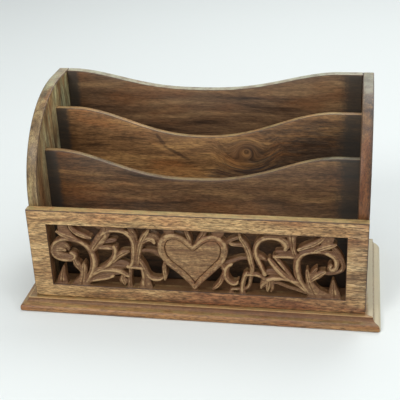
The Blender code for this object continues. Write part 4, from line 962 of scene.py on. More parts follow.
def march(solid):
    """Cuts the grid along solid = 0. Gives points, polygons and the edges of the openings."""
    height, width = solid.shape
    number = {}
    points = []
    faces = []
    rims = []

    def corner(i, j):
        if (i, j) not in number:
            number[(i, j)] = len(points)
            points.append((columns[j], rows[i]))
        return number[(i, j)]

    def crossing(a, b):
        key = (min(a, b), max(a, b))
        if key not in number:
            start, end = key
            share = min(max(solid[start] / (solid[start] - solid[end]), 0.02), 0.98)
            number[key] = len(points)
            points.append((columns[start[1]] + share * (columns[end[1]] - columns[start[1]]),
                           rows[start[0]] + share * (rows[end[0]] - rows[start[0]])))
        return number[key]

    wood = solid > 0
    for i in range(height - 1):
        for j in range(width - 1):
            cell = ((i, j), (i, j + 1), (i + 1, j + 1), (i + 1, j))
            inside = [wood[place] for place in cell]
            if not any(inside):
                continue
            if all(inside):
                faces.append([corner(*place) for place in cell])
                continue
            loop = []
            for here in range(4):
                there = (here + 1) % 4
                if inside[here]:
                    loop.append((corner(*cell[here]), None))
                if inside[here] != inside[there]:
                    way = "out" if inside[here] else "in"
                    loop.append((crossing(cell[here], cell[there]), way))
            faces.append([point for point, way in loop])
            for (first, way), (second, next_way) in zip(loop, loop[1:] + loop[:1]):
                if way == "out" and next_way == "in":
                    rims.append((first, second))
    last_row, last_column = height - 1, width - 1
    border = ([(0, j) for j in range(width)] + [(i, last_column) for i in range(1, height)]
              + [(last_row, j) for j in range(last_column - 1, -1, -1)]
              + [(i, 0) for i in range(last_row - 1, 0, -1)])
    outer = [(corner(*a), corner(*b)) for a, b in zip(border, border[1:] + border[:1])]
    return np.array(points), faces, rims, outer


flat_points, cells, rims, outer = march(grid_solid)
depth_there = carve(flat_points[:, 0], flat_points[:, 1])[1]
print(len(flat_points), "points,", len(cells), "cells,", len(rims), "rim edges")

# %% [markdown]
# ## The front panel: stain and painted shade in the cuts
#
# Stain and painted shade show the carving: the colour is darker in every V cut, deep down, down
# the sides of the strokes and down the walls of the openings, where shade falls, while the ridges
# are rubbed back to pale wood with a painted highlight. The mesh measures this for itself. A point
# that lies deeper than the average of its surroundings is in a hollow, and one that stands above it
# is on a ridge. A stroke keeps some stain all over, and the heart a little less. All this goes into
# the mesh as the attributes that the mark groups read.


# %% Shade the cuts and make the panel's mesh
def box_mean(field, weight, reach):
    """The mean of a field over a square of cells, counting only where there is weight."""
    def running(values):
        total = np.pad(values, ((reach + 1, reach), (reach + 1, reach)), mode="edge")
        total = total.cumsum(0).cumsum(1)
        span = 2 * reach + 1
        return (total[span:, span:] - total[:-span, span:] - total[span:, :-span]
                + total[:-span, :-span])

    return running(field * weight) / np.maximum(running(weight), 1e-6)


def look_up(field, x, z):
    """Values of a grid field at any points, mixed from the four grid points round each."""
    j = np.clip(np.searchsorted(columns, x) - 1, 0, len(columns) - 2)
    i = np.clip(np.searchsorted(rows, z) - 1, 0, len(rows) - 2)
    s = (x - columns[j]) / (columns[j + 1] - columns[j])
    t = (z - rows[i]) / (rows[i + 1] - rows[i])
    return ((field[i, j] * (1 - s) + field[i, j + 1] * s) * (1 - t)
            + (field[i + 1, j] * (1 - s) + field[i + 1, j + 1] * s) * t)


NEAR_CELLS, WIDE_CELLS = 3, 8
CONCAVE_FULL, SUNKEN_FULL, RAISED_FULL = 0.45 * MM, 1.5 * MM, 0.9 * MM
CUT_FROM, RIDGE_LOWEST, SIDE_WIDTH = 0.3 * MM, 2.4 * MM, 1.6 * MM
LOW_FROM, LOW_GROWTH = 1.6 * MM, 3.0 * MM
DEPTH_SHADE_FROM, DEPTH_SHADE_GROWTH = 0.8 * MM, 2.4 * MM
LEAST_STAIN, DEPTH_SHADE, HEART_STAIN, SIDE_SHADE, WALL_SHADE = 0.67, 0.14, 0.54, 0.48, 0.5
WINDOW_MARGIN = 0.5 * MM
wood_weight = (grid_solid > -CUT_FROM).astype(float)
near_mean = box_mean(grid_depth, wood_weight, NEAR_CELLS)
wide_mean = box_mean(grid_depth, wood_weight, WIDE_CELLS)
concave = np.clip((grid_depth - near_mean) / CONCAVE_FULL, -1, 1)
sunken = np.clip((grid_depth - wide_mean) / SUNKEN_FULL, -1, 1)
low_down = np.clip((grid_depth - LOW_FROM) / LOW_GROWTH, 0, 1)
in_window = ((np.abs(grid_x) < window_half + WINDOW_MARGIN)
             & (grid_z > window_low - WINDOW_MARGIN) & (grid_z < window_high + WINDOW_MARGIN))
# Painted shade: darker in concave places, below the surroundings and deep down.
grid_hollow = np.clip(0.85 * concave + 0.4 * sunken + 0.45 * low_down, 0, 1) * in_window
# Painted shade down the sides of each stroke.
side_of_stroke = np.clip(1 - grid_solid / SIDE_WIDTH, 0, 1) * SIDE_SHADE * in_window
in_heart = inside_loop(grid_x, grid_z, heart_loop)
# Stain over every stroke below the face, with painted shade that grows with depth.
depth_share = np.clip((grid_depth - DEPTH_SHADE_FROM) / DEPTH_SHADE_GROWTH, 0, 1)
stroke_stain_and_shade = np.where(in_heart, HEART_STAIN, LEAST_STAIN + DEPTH_SHADE * depth_share)
stroke_stain_and_shade = stroke_stain_and_shade * in_window * (grid_depth > CUT_FROM)
grid_hollow = np.maximum.reduce([grid_hollow, side_of_stroke, stroke_stain_and_shade])
# Raised ridges are rubbed pale, and a highlight is painted on them too.
raised = np.clip((wide_mean - grid_depth) / RAISED_FULL, 0, 1)
grid_rubbed_highlight = raised * (grid_depth < RIDGE_LOWEST) * in_window * ~in_heart
print(f"Stained share of the carving {grid_hollow[in_window].mean():.2f}")


def mesh_from(shape, name):
    """The mesh of a finished bmesh, which is freed."""
    mesh = bpy.data.meshes.new(name)
    shape.to_mesh(mesh)
    shape.free()
    return mesh


def finish_mesh(name, mesh, material, angle=math.radians(38)):
    """Makes the object of a finished mesh, shaded smooth with its arrises sharp."""
    mesh.name = name
    mesh.materials.clear()
    mesh.materials.append(material)
    mesh.shade_smooth()
    mesh.set_sharp_from_angle(angle=angle)
    piece = bpy.data.objects.new(name, mesh)
    bpy.context.scene.collection.objects.link(piece)
    return piece


def set_marks(mesh, edge, hollow):
    """Stores the edge and hollow attributes on the points of a mesh, for stained arrises and for
    stained hollows with painted shade.
    """
    for label, values in (("edge", edge), ("hollow", hollow)):
        layer = mesh.attributes.get(label) or mesh.attributes.new(label, "FLOAT", "POINT")
        layer.data.foreach_set("value", np.asarray(values, dtype=np.float32))


def stand_for(piece, nodes):
    """Attaches a finished piece to the root body, hides the CAD nodes that it stands for and prints its
    size.
    """
    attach(piece, "root")
    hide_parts(*nodes)
    low = [min(corner[axis] for corner in piece.bound_box) / MM for axis in range(3)]
    high = [max(corner[axis] for corner in piece.bound_box) / MM for axis in range(3)]
    sizes = " x ".join(f"{top - bottom:.1f}" for bottom, top in zip(low, high))
    print(f"{piece.name}: {sizes} mm, {len(piece.data.polygons)} faces")


def flat_back(points, rim_edges, frame_corners):
    """Triangles of the flat back. It floods in from the frame and stops at the openings' rims."""
    order = {number: place for place, number in enumerate(sorted({n for e in rim_edges for n in e}))}
    first = len(order)
    flat = [Vector(points[number]) for number in order] + [Vector(place) for place in frame_corners]
    walls = {frozenset((order[a], order[b])) for a, b in rim_edges}
    frame_edges = [(first + index, first + (index + 1) % 4) for index in range(4)]
    filled = delaunay_2d_cdt(flat, [tuple(wall) for wall in walls] + frame_edges, [], 0, 1e-9)
    source = [origins[0] for origins in filled[3]]
    triangles = [[source[corner] for corner in triangle] for triangle in filled[2]]
    beside = {}
    for index, (a, b, c) in enumerate(triangles):
        for pair in ((a, b), (b, c), (c, a)):
            beside.setdefault(frozenset(pair), []).append(index)
    reached = {next(index for index, triangle in enumerate(triangles) if first in triangle)}
    waiting = list(reached)
    while waiting:
        a, b, c = triangles[waiting.pop()]
        for pair in (frozenset((a, b)), frozenset((b, c)), frozenset((c, a))):
            if pair in walls:
                continue
            new = [index for index in beside[pair] if index not in reached]
            reached.update(new)
            waiting.extend(new)
    return [triangles[index] for index in sorted(reached)]


FACE_RIM, BACK_OF_RIM = 0.8 * MM, 1.6 * MM
WALL_SHARE = 0.12


def panel_mesh():
    """The carved face, the walls of the openings and the back, joined into one closed solid."""
    x, z = flat_points[:, 0], flat_points[:, 1]
    count = len(flat_points)
    face_y = panel_low.y + depth_there
    hollow = look_up(grid_hollow, x, z)
    rubbed_highlight = look_up(grid_rubbed_highlight, x, z)
    to_edge = np.minimum(panel_size.x / 2 - np.abs(x), np.minimum(z - panel_low.z,
                                                                   panel_high.z - z))
    out_of_window = np.maximum(np.abs(x) - window_half, np.maximum(window_low - z,
                                                                    z - window_high))
    on_rim = (to_edge < FACE_RIM) & (z > panel_low.z + 2 * MM)
    on_arris = on_rim | ((out_of_window > -0.1 * MM) & (out_of_window < 0.6 * MM))
    shape = bmesh.new()
    edge_layer = shape.verts.layers.float.new("edge")
    hollow_layer = shape.verts.layers.float.new("hollow")
    rubbed_highlight_layer = shape.verts.layers.float.new("rubbed_highlight")

    def add_point(place, edge, dark, pale=0.0):
        corner = shape.verts.new(place)
        corner[edge_layer] = edge
        corner[hollow_layer] = dark
        corner[rubbed_highlight_layer] = pale
        return corner

    face_points = [add_point((x[n], face_y[n], z[n]), float(on_arris[n]), hollow[n], rubbed_highlight[n])
                   for n in range(count)]
    for loop in cells:
        shape.faces.new([face_points[number] for number in loop])
    rim_numbers = sorted({number for pair in rims for number in pair})
    # The walls of the openings are painted in shade, darkest at the back.
    middle_y = face_y * (1 - WALL_SHARE) + panel_high.y * WALL_SHARE
    middle_points = {n: add_point((x[n], middle_y[n], z[n]), 0.0, max(hollow[n], WALL_SHADE))
                     for n in rim_numbers}
    back_points = {n: add_point((x[n], panel_high.y, z[n]), 0.0, 0.6) for n in rim_numbers}
    for a, b in rims:
        shape.faces.new((face_points[b], face_points[a], middle_points[a], middle_points[b]))
        shape.faces.new((middle_points[b], middle_points[a], back_points[a], back_points[b]))
    half = panel_size.x / 2
    outer_numbers = {number for pair in outer for number in pair}
    outer_front = {n: add_point((x[n], panel_low.y + BACK_OF_RIM, z[n]), 0.0, 0.0)
                   for n in outer_numbers}
    outer_back = {n: add_point((x[n], panel_high.y - ARRIS, z[n]), 0.0, 0.0)
                  for n in outer_numbers}
    for a, b in outer:
        shape.faces.new((face_points[b], face_points[a], outer_front[a], outer_front[b]))
        shape.faces.new((outer_front[b], outer_front[a], outer_back[a], outer_back[b]))
    sides = [[n for n in outer_back if z[n] == rows[0]], [n for n in outer_back if x[n] == columns[-1]],
             [n for n in outer_back if z[n] == rows[-1]], [n for n in outer_back if x[n] == columns[0]]]
    ways = ((0, 1), (1, 1), (0, -1), (1, -1))
    rings = []
    for turn in (30, 60, 90):
        inset = ARRIS * (1 - math.cos(math.radians(turn)))
        y = panel_high.y - ARRIS * (1 - math.sin(math.radians(turn)))
        rings.append([add_point((side * (half - inset), y, level), float(turn < 90), 0.0)
                      for side, level in ((-1, panel_low.z + inset), (1, panel_low.z + inset),
                                          (1, panel_high.z - inset), (-1, panel_high.z - inset))])
    for index, (numbers, (axis, way)) in enumerate(zip(sides, ways)):
        line = sorted(numbers, key=lambda n: flat_points[n][axis] * way)
        after = (index + 1) % 4
        shape.faces.new([outer_back[n] for n in line] + [rings[0][after], rings[0][index]])
    for inner, outer_ring in zip(rings[1:], rings):
        for index in range(4):
            after = (index + 1) % 4
            shape.faces.new((outer_ring[index], outer_ring[after], inner[after], inner[index]))
    frame_corners = [(corner.co.x, corner.co.z) for corner in rings[-1]]
    back_order = [back_points[n] for n in rim_numbers] + rings[-1]
    for triangle in flat_back(flat_points, rims, frame_corners):
        shape.faces.new([back_order[number] for number in reversed(triangle)])
    bmesh.ops.recalc_face_normals(shape, faces=shape.faces)
    open_edges = sum(not edge.is_manifold for edge in shape.edges)
    print(f"{len(shape.faces)} faces, {open_edges} open edges")
    return mesh_from(shape, "front_panel_carved")


front_panel = finish_mesh("front_panel_carved", panel_mesh(), front_wood, math.radians(42))
stand_for(front_panel, ["front_panel"])

# %% [markdown]
# ## The dipped boards: a rule in Geometry Nodes
#
# The back and the two dividers have the same kind of top edge: level at both ends, with a smooth
# dip between that was sawn by eye, so its lowest place lies a little left of the middle. A cosine
# gives that line, and a power on its argument makes the dip rounder or more pointed. One Geometry
# Nodes tree holds the rule. It bends a flat grid to the outline and pushes it through the board's
# thickness, and each board only fills in its own sizes.


# %% Build the dipped board tree
POINTS_ALONG, POINTS_UP = 221, 31
MERGE = 0.01 * MM


def build_dipped_tree():
    """A board with a dipped top edge, built of one grid."""
    lengths = ("Half Length", "Bottom", "Top", "Dip", "Offset", "Reach", "Power", "Front",
               "Thickness")
    tree, given, result = start_group(
        "Dipped board", "GeometryNodeTree",
        [(label, "Float", None) for label in lengths]
        + [("Material", "Material", None)], [("Geometry", "Geometry")])
    value = given.outputs
    width = maths(tree, "MULTIPLY", value["Half Length"], 2.0)
    grid = add_node(tree, "GeometryNodeMeshGrid",
                    {"Size X": width, "Size Y": 1.0, "Vertices X": POINTS_ALONG,
                     "Vertices Y": POINTS_UP})
    place = add_node(tree, "ShaderNodeSeparateXYZ",
                     {0: add_node(tree, "GeometryNodeInputPosition").outputs[0]})
    aside = maths(tree, "ABSOLUTE", maths(tree, "ADD", place.outputs[0], value["Offset"]))
    share = maths(tree, "MINIMUM", maths(tree, "DIVIDE", aside, value["Reach"]), 1.0)
    angle = maths(tree, "MULTIPLY", maths(tree, "POWER", share, value["Power"]), math.pi)
    sink = maths(tree, "MULTIPLY", maths(tree, "ADD", maths(tree, "COSINE", angle), 1.0), 0.5)
    top = maths(tree, "SUBTRACT", value["Top"], maths(tree, "MULTIPLY", sink, value["Dip"]))
    up = maths(tree, "ADD", place.outputs[1], 0.5)
    rise = maths(tree, "MULTIPLY", up, maths(tree, "SUBTRACT", top, value["Bottom"]))
    height = maths(tree, "ADD", value["Bottom"], rise)
    target = combine(tree, place.outputs[0], value["Front"], height)
    face = add_node(tree, "GeometryNodeSetPosition",
                    {"Geometry": grid.outputs["Mesh"], "Position": target})
    turned = add_node(tree, "GeometryNodeFlipFaces", {"Mesh": face.outputs[0]})
    pushed = add_node(tree, "GeometryNodeExtrudeMesh",
                      {"Mesh": turned.outputs[0], "Offset": combine(tree, y=value["Thickness"]),
                       "Offset Scale": 1.0, "Individual": False}, mode="FACES")
    joined = tree.nodes.new("GeometryNodeJoinGeometry")
    tree.links.new(face.outputs[0], joined.inputs[0])
    tree.links.new(pushed.outputs["Mesh"], joined.inputs[0])
    closed = add_node(tree, "GeometryNodeMergeByDistance",
                      {"Geometry": joined.outputs[0], "Distance": MERGE})
    return end_geometry(tree, closed.outputs[0], value["Material"], result)


dipped_board = build_dipped_tree()
print("Tree", dipped_board.name, "with", len(dipped_board.nodes), "nodes")

# %% [markdown]
# ## Holes and rounded arrises
#
# Each upright is glued and screwed: screws come up through the base, dowels cross from board to
# board, and the dividers' ends sit in grooves in the sides. Plain cutters take those holes out of
# the boards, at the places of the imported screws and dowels. A Bevel first rounds every arris by
# about a millimetre, as sandpaper does, and `settle` turns the whole stack into a plain mesh.


# %% Helpers for modifiers and cutters
EASE = 0.9 * MM
FIT = 0.3 * MM
OVERRUN = 2.0 * MM
SCREW_RADIUS = 1.5 * MM
SLACK = Vector((FIT, FIT, FIT))


def new_piece(name, mesh=None):
    """A new object in the scene, with an empty mesh unless one is given."""
    thing = bpy.data.objects.new(name, mesh or bpy.data.meshes.new(name))
    bpy.context.scene.collection.objects.link(thing)
    return thing


def run_tree(thing, tree, values):
    """Adds a Geometry Nodes modifier and sets its inputs by their sockets' identifiers."""
    step = thing.modifiers.new(tree.name, "NODES")
    step.node_group = tree
    for item in tree.interface.items_tree:
        if item.item_type == "SOCKET" and item.in_out == "INPUT" and item.name in values:
            step[item.identifier] = values[item.name]


def ease_arrises(thing):
    """Rounds the sharp edges of a board with a Bevel."""
    step = thing.modifiers.new("Ease", "BEVEL")
    step.width = EASE
    step.segments = 3
    step.limit_method = "ANGLE"
    step.angle_limit = math.radians(40)


def cut_out(thing, cutters):
    """Takes the cutters out of a piece with one exact Boolean."""
    group = bpy.data.collections.new(f"{thing.name}_cutters")
    for cutter in cutters:
        group.objects.link(cutter)
    step = thing.modifiers.new("Cut", "BOOLEAN")
    step.operation = "DIFFERENCE"
    step.solver = "EXACT"
    step.operand_type = "COLLECTION"
    step.collection = group


def settle(thing, cutters=()):
    """The finished mesh of a piece's modifiers. The maker's object and cutters are removed."""
    bpy.context.view_layer.update()
    graph = bpy.context.evaluated_depsgraph_get()
    mesh = bpy.data.meshes.new_from_object(thing.evaluated_get(graph))
    for used in (thing, *cutters):
        bpy.data.objects.remove(used, do_unlink=True)
    return mesh


def middle_of(node):
    """The middle of a CAD node's box."""
    low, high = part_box(node)
    return (low + high) / 2


def rod_cutter(low, high, axis):
    """A round cutter that fits the box of a screw or dowel."""
    size = high - low
    radius = max(size[other] for other in range(3) if other != axis) / 2
    shape = bmesh.new()
    bmesh.ops.create_cone(shape, cap_ends=True, segments=24, radius1=radius, radius2=radius,
                          depth=size[axis])
    if axis != 2:
        turn = Matrix.Rotation(math.radians(90), 3, "Y" if axis == 0 else "X")
        bmesh.ops.rotate(shape, matrix=turn, verts=shape.verts)
    bmesh.ops.translate(shape, vec=(low + high) / 2, verts=shape.verts)
    return new_piece("cutter", mesh_from(shape, "cutter"))


def box_cutter(low, high):
    """A cutter with six flat sides."""
    shape = bmesh.new()
    bmesh.ops.create_cube(shape, size=1)
    bmesh.ops.scale(shape, vec=high - low, verts=shape.verts)
    bmesh.ops.translate(shape, vec=(low + high) / 2, verts=shape.verts)
    return new_piece("cutter", mesh_from(shape, "cutter"))


def shank_cutter(screw, bottom, top):
    """A cutter for the hole of a screw's shank, between two heights."""
    middle = middle_of(screw)
    across = Vector((SCREW_RADIUS + FIT, SCREW_RADIUS + FIT, 0))
    return rod_cutter(Vector((middle.x, middle.y, bottom)) - across,
                      Vector((middle.x, middle.y, top)) + across, 2)


def fastener_cutters(board):
    """Cutters for every screw and dowel that enters a board."""
    board_low, board_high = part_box(board)
    cutters = []
    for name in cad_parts:
        if not name.startswith(("screw", "dowel")):
            continue
        low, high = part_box(name)
        if any(high[axis] < board_low[axis] or low[axis] > board_high[axis] for axis in range(3)):
            continue
        if name.startswith("screw"):
            cutters.append(shank_cutter(name, low.z, high.z))
        else:
            axis = max(range(3), key=lambda index: high[index] - low[index])
            cutters.append(rod_cutter(low - SLACK, high + SLACK, axis))
    return cutters


print("Cutters ready")

# %% [markdown]
# ## The back and the two dividers
#
# The back is the tallest board and dips least. The dividers are thinner and lower, and the rear
# one shows the finest figure of the whole rack: a swirl round a small knot right of the middle.

# %% Make the back and the dividers
side_inner_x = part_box("side_right")[0].x
GLUE_LINE = 0.25 * MM
LOW_SHADE_REACH = 30 * MM
END_SHADE_START = 7 * MM
LEFT_FADE = 8 * MM
RIGHT_FADE = 20 * MM
LOW_IN_SLOT, LOW_ON_SIDE = 0.8, 0.5
FACE_MARGIN = 0.03 * MM


def mesh_places(mesh):
    """The points of a mesh as rows of x, y, z."""
    places = np.empty(len(mesh.vertices) * 3)
    mesh.vertices.foreach_get("co", places)
    return places.reshape(-1, 3)


def board_marks(mesh, axis, rear_in_slot=True):
    """Marks a board's rounded arrises, and paints shade low down and at the ends of the slots.

    The board is thin along the axis. Its front always looks into a slot, its rear not always."""
    places = mesh_places(mesh)
    across = places[:, axis]
    in_from_face = np.minimum(across - across.min(), across.max() - across)
    edge = (in_from_face > FACE_MARGIN) & (in_from_face < EASE * 0.97)
    bottom = places[:, 2].min()
    from_end = side_inner_x - np.abs(places[:, 0])
    # Painted shade: darker towards the bottom, more inside a slot than on a side.
    low_down = np.exp(-(places[:, 2] - bottom) / LOW_SHADE_REACH)
    low_down *= LOW_IN_SLOT if axis == 1 else LOW_ON_SIDE
    normals = np.array([corner.normal for corner in mesh.vertices])
    shut_in = (axis == 1) & (normals[:, 2] < 0.5)
    if not rear_in_slot:
        shut_in &= normals[:, 1] < 0.3
    # Painted shade at the ends of the slots, beside the sides, fading out faster on the left.
    fading = np.where(places[:, 0] < 0, LEFT_FADE, RIGHT_FADE)
    at_ends = np.clip(1 - (from_end - END_SHADE_START) / fading, 0, 1) * shut_in
    set_marks(mesh, edge, np.clip(low_down + at_ends, 0, 1))


def make_dipped(node, dip, offset, shoulder, power, material):
    """A board whose top dips. The shoulder is the level length beside the dip's left end."""
    low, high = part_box(node)
    maker = new_piece(f"{node}_maker")
    run_tree(maker, dipped_board, {
        "Half Length": (high.x - low.x) / 2 + GLUE_LINE, "Bottom": low.z, "Top": high.z,
        "Dip": dip, "Offset": offset, "Reach": side_inner_x - offset - shoulder, "Power": power,
        "Front": low.y, "Thickness": high.y - low.y, "Material": material})
    ease_arrises(maker)
    cutters = fastener_cutters(node)
    cut_out(maker, cutters)
    mesh = settle(maker, cutters)
    board_marks(mesh, 1, rear_in_slot=node != "back_panel")
    piece = finish_mesh(f"{node}_board", mesh, material)
    stand_for(piece, [node])


make_dipped("back_panel", 17.3 * MM, 8.9 * MM, 2.6 * MM, 1.3, back_wood)
make_dipped("divider_rear", 25.8 * MM, 3.2 * MM, 15.8 * MM, 1.16, knot_wood)
make_dipped("divider_front", 25.2 * MM, 4.4 * MM, 8.1 * MM, 1.27, divider_wood)

# %% [markdown]
# ## The sides
#
# Each side is one board with its grain upright. Its front edge rises from the front panel in
# almost a quarter of an ellipse, a little fuller, which a superellipse gives: sine and cosine
# raised to a power. The outline is pushed through the thickness and eased, and the grooves for
# the dividers are cut on its inner face.

# %% Make the two sides
ARCH_DEPTH = 98.6 * MM
ARCH_FULLNESS = 2.07
ARCH_STEPS = 110
HOUSING_DEPTH = 3.0 * MM


def arch_outline(low, high):
    """Side view: up the straight part, round the arch, along the level top and down the back."""
    spring = panel_high.z
    outline = [(low.y, low.z), (high.y, low.z), (high.y, high.z)]
    for index in range(ARCH_STEPS + 1):
        angle = math.pi / 2 * index / ARCH_STEPS
        forward = math.sin(angle) ** (2 / ARCH_FULLNESS)
        upward = max(math.cos(angle), 0) ** (2 / ARCH_FULLNESS)
        outline.append((low.y + ARCH_DEPTH * (1 - forward), spring + (high.z - spring) * upward))
    return outline


def make_side(node):
    """A side: its arched outline pushed through the thickness, eased and grooved."""
    low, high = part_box(node)
    shape = bmesh.new()
    face = shape.faces.new([shape.verts.new((low.x, y, z)) for y, z in arch_outline(low, high)])
    pushed = bmesh.ops.extrude_face_region(shape, geom=[face], use_keep_orig=True)
    moved = [corner for corner in pushed["geom"] if isinstance(corner, bmesh.types.BMVert)]
    bmesh.ops.translate(shape, vec=(high.x - low.x, 0, 0), verts=moved)
    bmesh.ops.recalc_face_normals(shape, faces=shape.faces)
    maker = new_piece(f"{node}_maker", mesh_from(shape, node))
    ease_arrises(maker)
    cutters = fastener_cutters(node)
    is_left = high.x < 0
    for divider in ("divider_front", "divider_rear"):
        end_low, end_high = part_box(divider)
        groove_low = Vector((high.x - HOUSING_DEPTH if is_left else low.x - OVERRUN,
                             end_low.y - FIT, low.z - OVERRUN))
        groove_high = Vector((high.x + OVERRUN if is_left else low.x + HOUSING_DEPTH,
                              end_high.y + FIT, end_high.z + FIT))
        cutters.append(box_cutter(groove_low, groove_high))
    cut_out(maker, cutters)
    mesh = settle(maker, cutters)
    board_marks(mesh, 0)
    piece = finish_mesh(f"{node}_board", mesh, side_wood)
    stand_for(piece, [node])


make_side("side_left")
make_side("side_right")

# %% [markdown]
# ## The base
#
# The base stands out past the body on every side, and a router has run a moulding along its front
# and ends: a rounded nose, and above it a cove that turns up into a sharp step at the flat. The
# cove is darker, and the step's arris is rubbed pale with a painted highlight. The profile is a row
# of insets and heights. Each one makes a ring round the board, and the rings are joined like the
# layers of a lamp shade. Along the front the moulding spreads a little wider, so the corners meet
# in a mitre that isn't quite at 45 degrees. Right of the last mitre the grain runs out, and a pale
# sheen is painted there.

# %% Make the base
MOULD_WIDTH = 6.8 * MM
NOSE_WIDTH = 3.4 * MM
NOSE_HEIGHT = 6.6 * MM
NOSE_SPRING = 2.6 * MM
UNDER_ROUNDING = 1.6 * MM
STEP_HEIGHT = 0.5 * MM
FRONT_SPREAD = 1.18
FRONT_CORNER = 2.6 * MM
INNER_CORNER = 0.6 * MM
REAR_CORNER = 7.0 * MM
CORNER_STEPS = 5
REAR_STEPS = 10
PROFILE_STEPS = 8
COUNTERSINK_LIFT = 0.3 * MM
BODY_MARGIN = 1 * MM
UNDER_BODY_DARKENING = 0.8
FAINT_MARK, COVE_DARKENING, END_DARKENING = 0.2, 0.5, 0.5
# Beyond the moulding and below the top in millimetres, then the hollow, end and rubbed marks;
# the rubbed mark is wear with a painted highlight on the step's arris
STEP_ROWS = ((0.0, 0.3, 0.6, 0.5, 0.0), (0.1, 0.08, 0.0, 0.5, 1.0), (0.3, 0.0, 0.0, 0.5, 1.0),
             (0.9, 0.0, 0.0, 0.0, 0.8), (1.5, 0.0, 0.0, 0.0, 0.0))
base_low, base_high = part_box("base_board")
body_high = Vector((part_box("side_right")[1].x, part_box("back_panel")[1].y, base_high.z))


def base_profile():
    """Rows from below to the top: inset, height, and the edge, hollow, end and rubbed marks.

    The hollow mark holds along the front and the left, and the end mark on the right end."""
    turns = [math.pi / 2 * index / PROFILE_STEPS for index in range(PROFILE_STEPS + 1)]
    rows_up = [(UNDER_ROUNDING * (1 - math.sin(turn)), UNDER_ROUNDING * (1 - math.cos(turn)),
                FAINT_MARK * math.cos(turn), 0.0, 0.0, 0.0) for turn in turns]
    nose_rise = NOSE_HEIGHT - NOSE_SPRING
    rows_up += [(NOSE_WIDTH * (1 - math.cos(turn)), NOSE_SPRING + nose_rise * math.sin(turn),
                 0.0, FAINT_MARK * turn / turns[-1], 0.0, 0.0) for turn in turns]
    cove_width = MOULD_WIDTH - NOSE_WIDTH
    cove_rise = base_high.z - STEP_HEIGHT - NOSE_HEIGHT
    rows_up += [(NOSE_WIDTH + cove_width * math.sin(turn),
                 NOSE_HEIGHT + cove_rise * (1 - math.cos(turn)), 0.0,
                 FAINT_MARK + COVE_DARKENING * math.sin(turn), END_DARKENING if index > 3 else 0.05, 0.0)
                for index, turn in enumerate(turns) if index]
    for beyond, below, hollow, end_hollow, rubbed_highlight in STEP_ROWS:
        rows_up.append((MOULD_WIDTH + beyond * MM, base_high.z - below * MM, 0.0, hollow,
                        end_hollow, rubbed_highlight))
    return rows_up


def base_ring(inset, height):
    """One level of the base: moulded along the front and ends, upright at the back."""
    half = base_high.x - inset
    front = base_low.y + inset * FRONT_SPREAD
    rear = base_high.y
    radius = max(FRONT_CORNER - inset, INNER_CORNER)
    ring = []
    for side in (1, -1):
        for step in range(CORNER_STEPS + 1):
            turn = math.pi / 2 * (step if side < 0 else CORNER_STEPS - step) / CORNER_STEPS
            ring.append((side * (half - radius * (1 - math.sin(turn))),
                         front + radius * (1 - math.cos(turn)), height))
    across = max(REAR_CORNER - inset, 0.1 * MM)
    rear_ring = []
    for step in range(REAR_STEPS + 1):
        turn = math.pi / 2 * step / REAR_STEPS
        rear_ring.append((half - across * (1 - math.cos(turn)),
                          rear - REAR_CORNER * (1 - math.sin(turn)), height))
    rear_left = [(-x, y, z) for x, y, z in reversed(rear_ring)]
    return [*reversed(ring), *rear_ring, *rear_left]


def body_ring(ring, inwards):
    """A ring pulled in to the outline of the body that stands on the base."""
    reach_x = body_high.x - inwards
    return [(min(max(x, -reach_x), reach_x),
             min(max(y, panel_low.y + inwards), body_high.y - inwards), z) for x, y, z in ring]


def on_right_end(x, y):
    """True right of the mitre line, where the grain of the base runs out."""
    inset_from_front = (y - base_low.y) / FRONT_SPREAD
    return x > 0 and base_high.x - x < inset_from_front and y < base_high.y - 0.1 * MM


def countersink_cutter(screw):
    """A cone that opens the hole below the board for a screw's head."""
    low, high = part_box(screw)
    middle = middle_of(screw)
    narrow = SCREW_RADIUS + FIT
    head_radius = (high.x - low.x) / 2 + FIT
    depth = head_radius + OVERRUN - narrow
    shape = bmesh.new()
    bmesh.ops.create_cone(shape, cap_ends=True, segments=32, radius1=head_radius + OVERRUN,
                          radius2=narrow, depth=depth)
    height = low.z + head_radius - narrow - depth / 2 + COUNTERSINK_LIFT
    bmesh.ops.translate(shape, vec=(middle.x, middle.y, height), verts=shape.verts)
    return new_piece("cutter", mesh_from(shape, "cutter"))


def base_shape():
    """The base before its holes: rings round the moulding, then two on the flat top."""
    shape = bmesh.new()
    edge_layer, hollow_layer, rubbed_highlight_layer, end_layer = (
        shape.verts.layers.float.new(label) for label in ("edge", "hollow", "rubbed_highlight", "end_sheen"))
    loops = []
    rings = [(base_ring(inset, height), *marks) for inset, height, *marks in base_profile()]
    # Two rings on the flat top: the inner one darkens the top under the body.
    for inwards, stain_and_shade in ((0.2 * MM, 0.0), (1.2 * MM, UNDER_BODY_DARKENING)):
        rings.append((body_ring(rings[-1][0], inwards), 0.0, stain_and_shade, stain_and_shade, 0.0))
    at_right = [on_right_end(x, y) for x, y, z in rings[0][0]]
    for ring, edge, hollow, end_hollow, rubbed_highlight in rings:
        loop = []
        for point, ends in zip(ring, at_right):
            corner = shape.verts.new(point)
            corner[edge_layer] = edge
            # The right end of the base gets a painted pale sheen.
            corner[end_layer] = float(ends)
            corner[hollow_layer] = end_hollow if ends else hollow
            corner[rubbed_highlight_layer] = 0 if ends else rubbed_highlight
            loop.append(corner)
        loops.append(loop)
    for lower, upper in zip(loops, loops[1:]):
        for index, corner in enumerate(lower):
            beside = (index + 1) % len(lower)
            shape.faces.new((corner, lower[beside], upper[beside], upper[index]))
    shape.faces.new(loops[0])
    shape.faces.new(loops[-1])
    bmesh.ops.remove_doubles(shape, verts=shape.verts, dist=0.001 * MM)
    bmesh.ops.recalc_face_normals(shape, faces=shape.faces)
    return shape


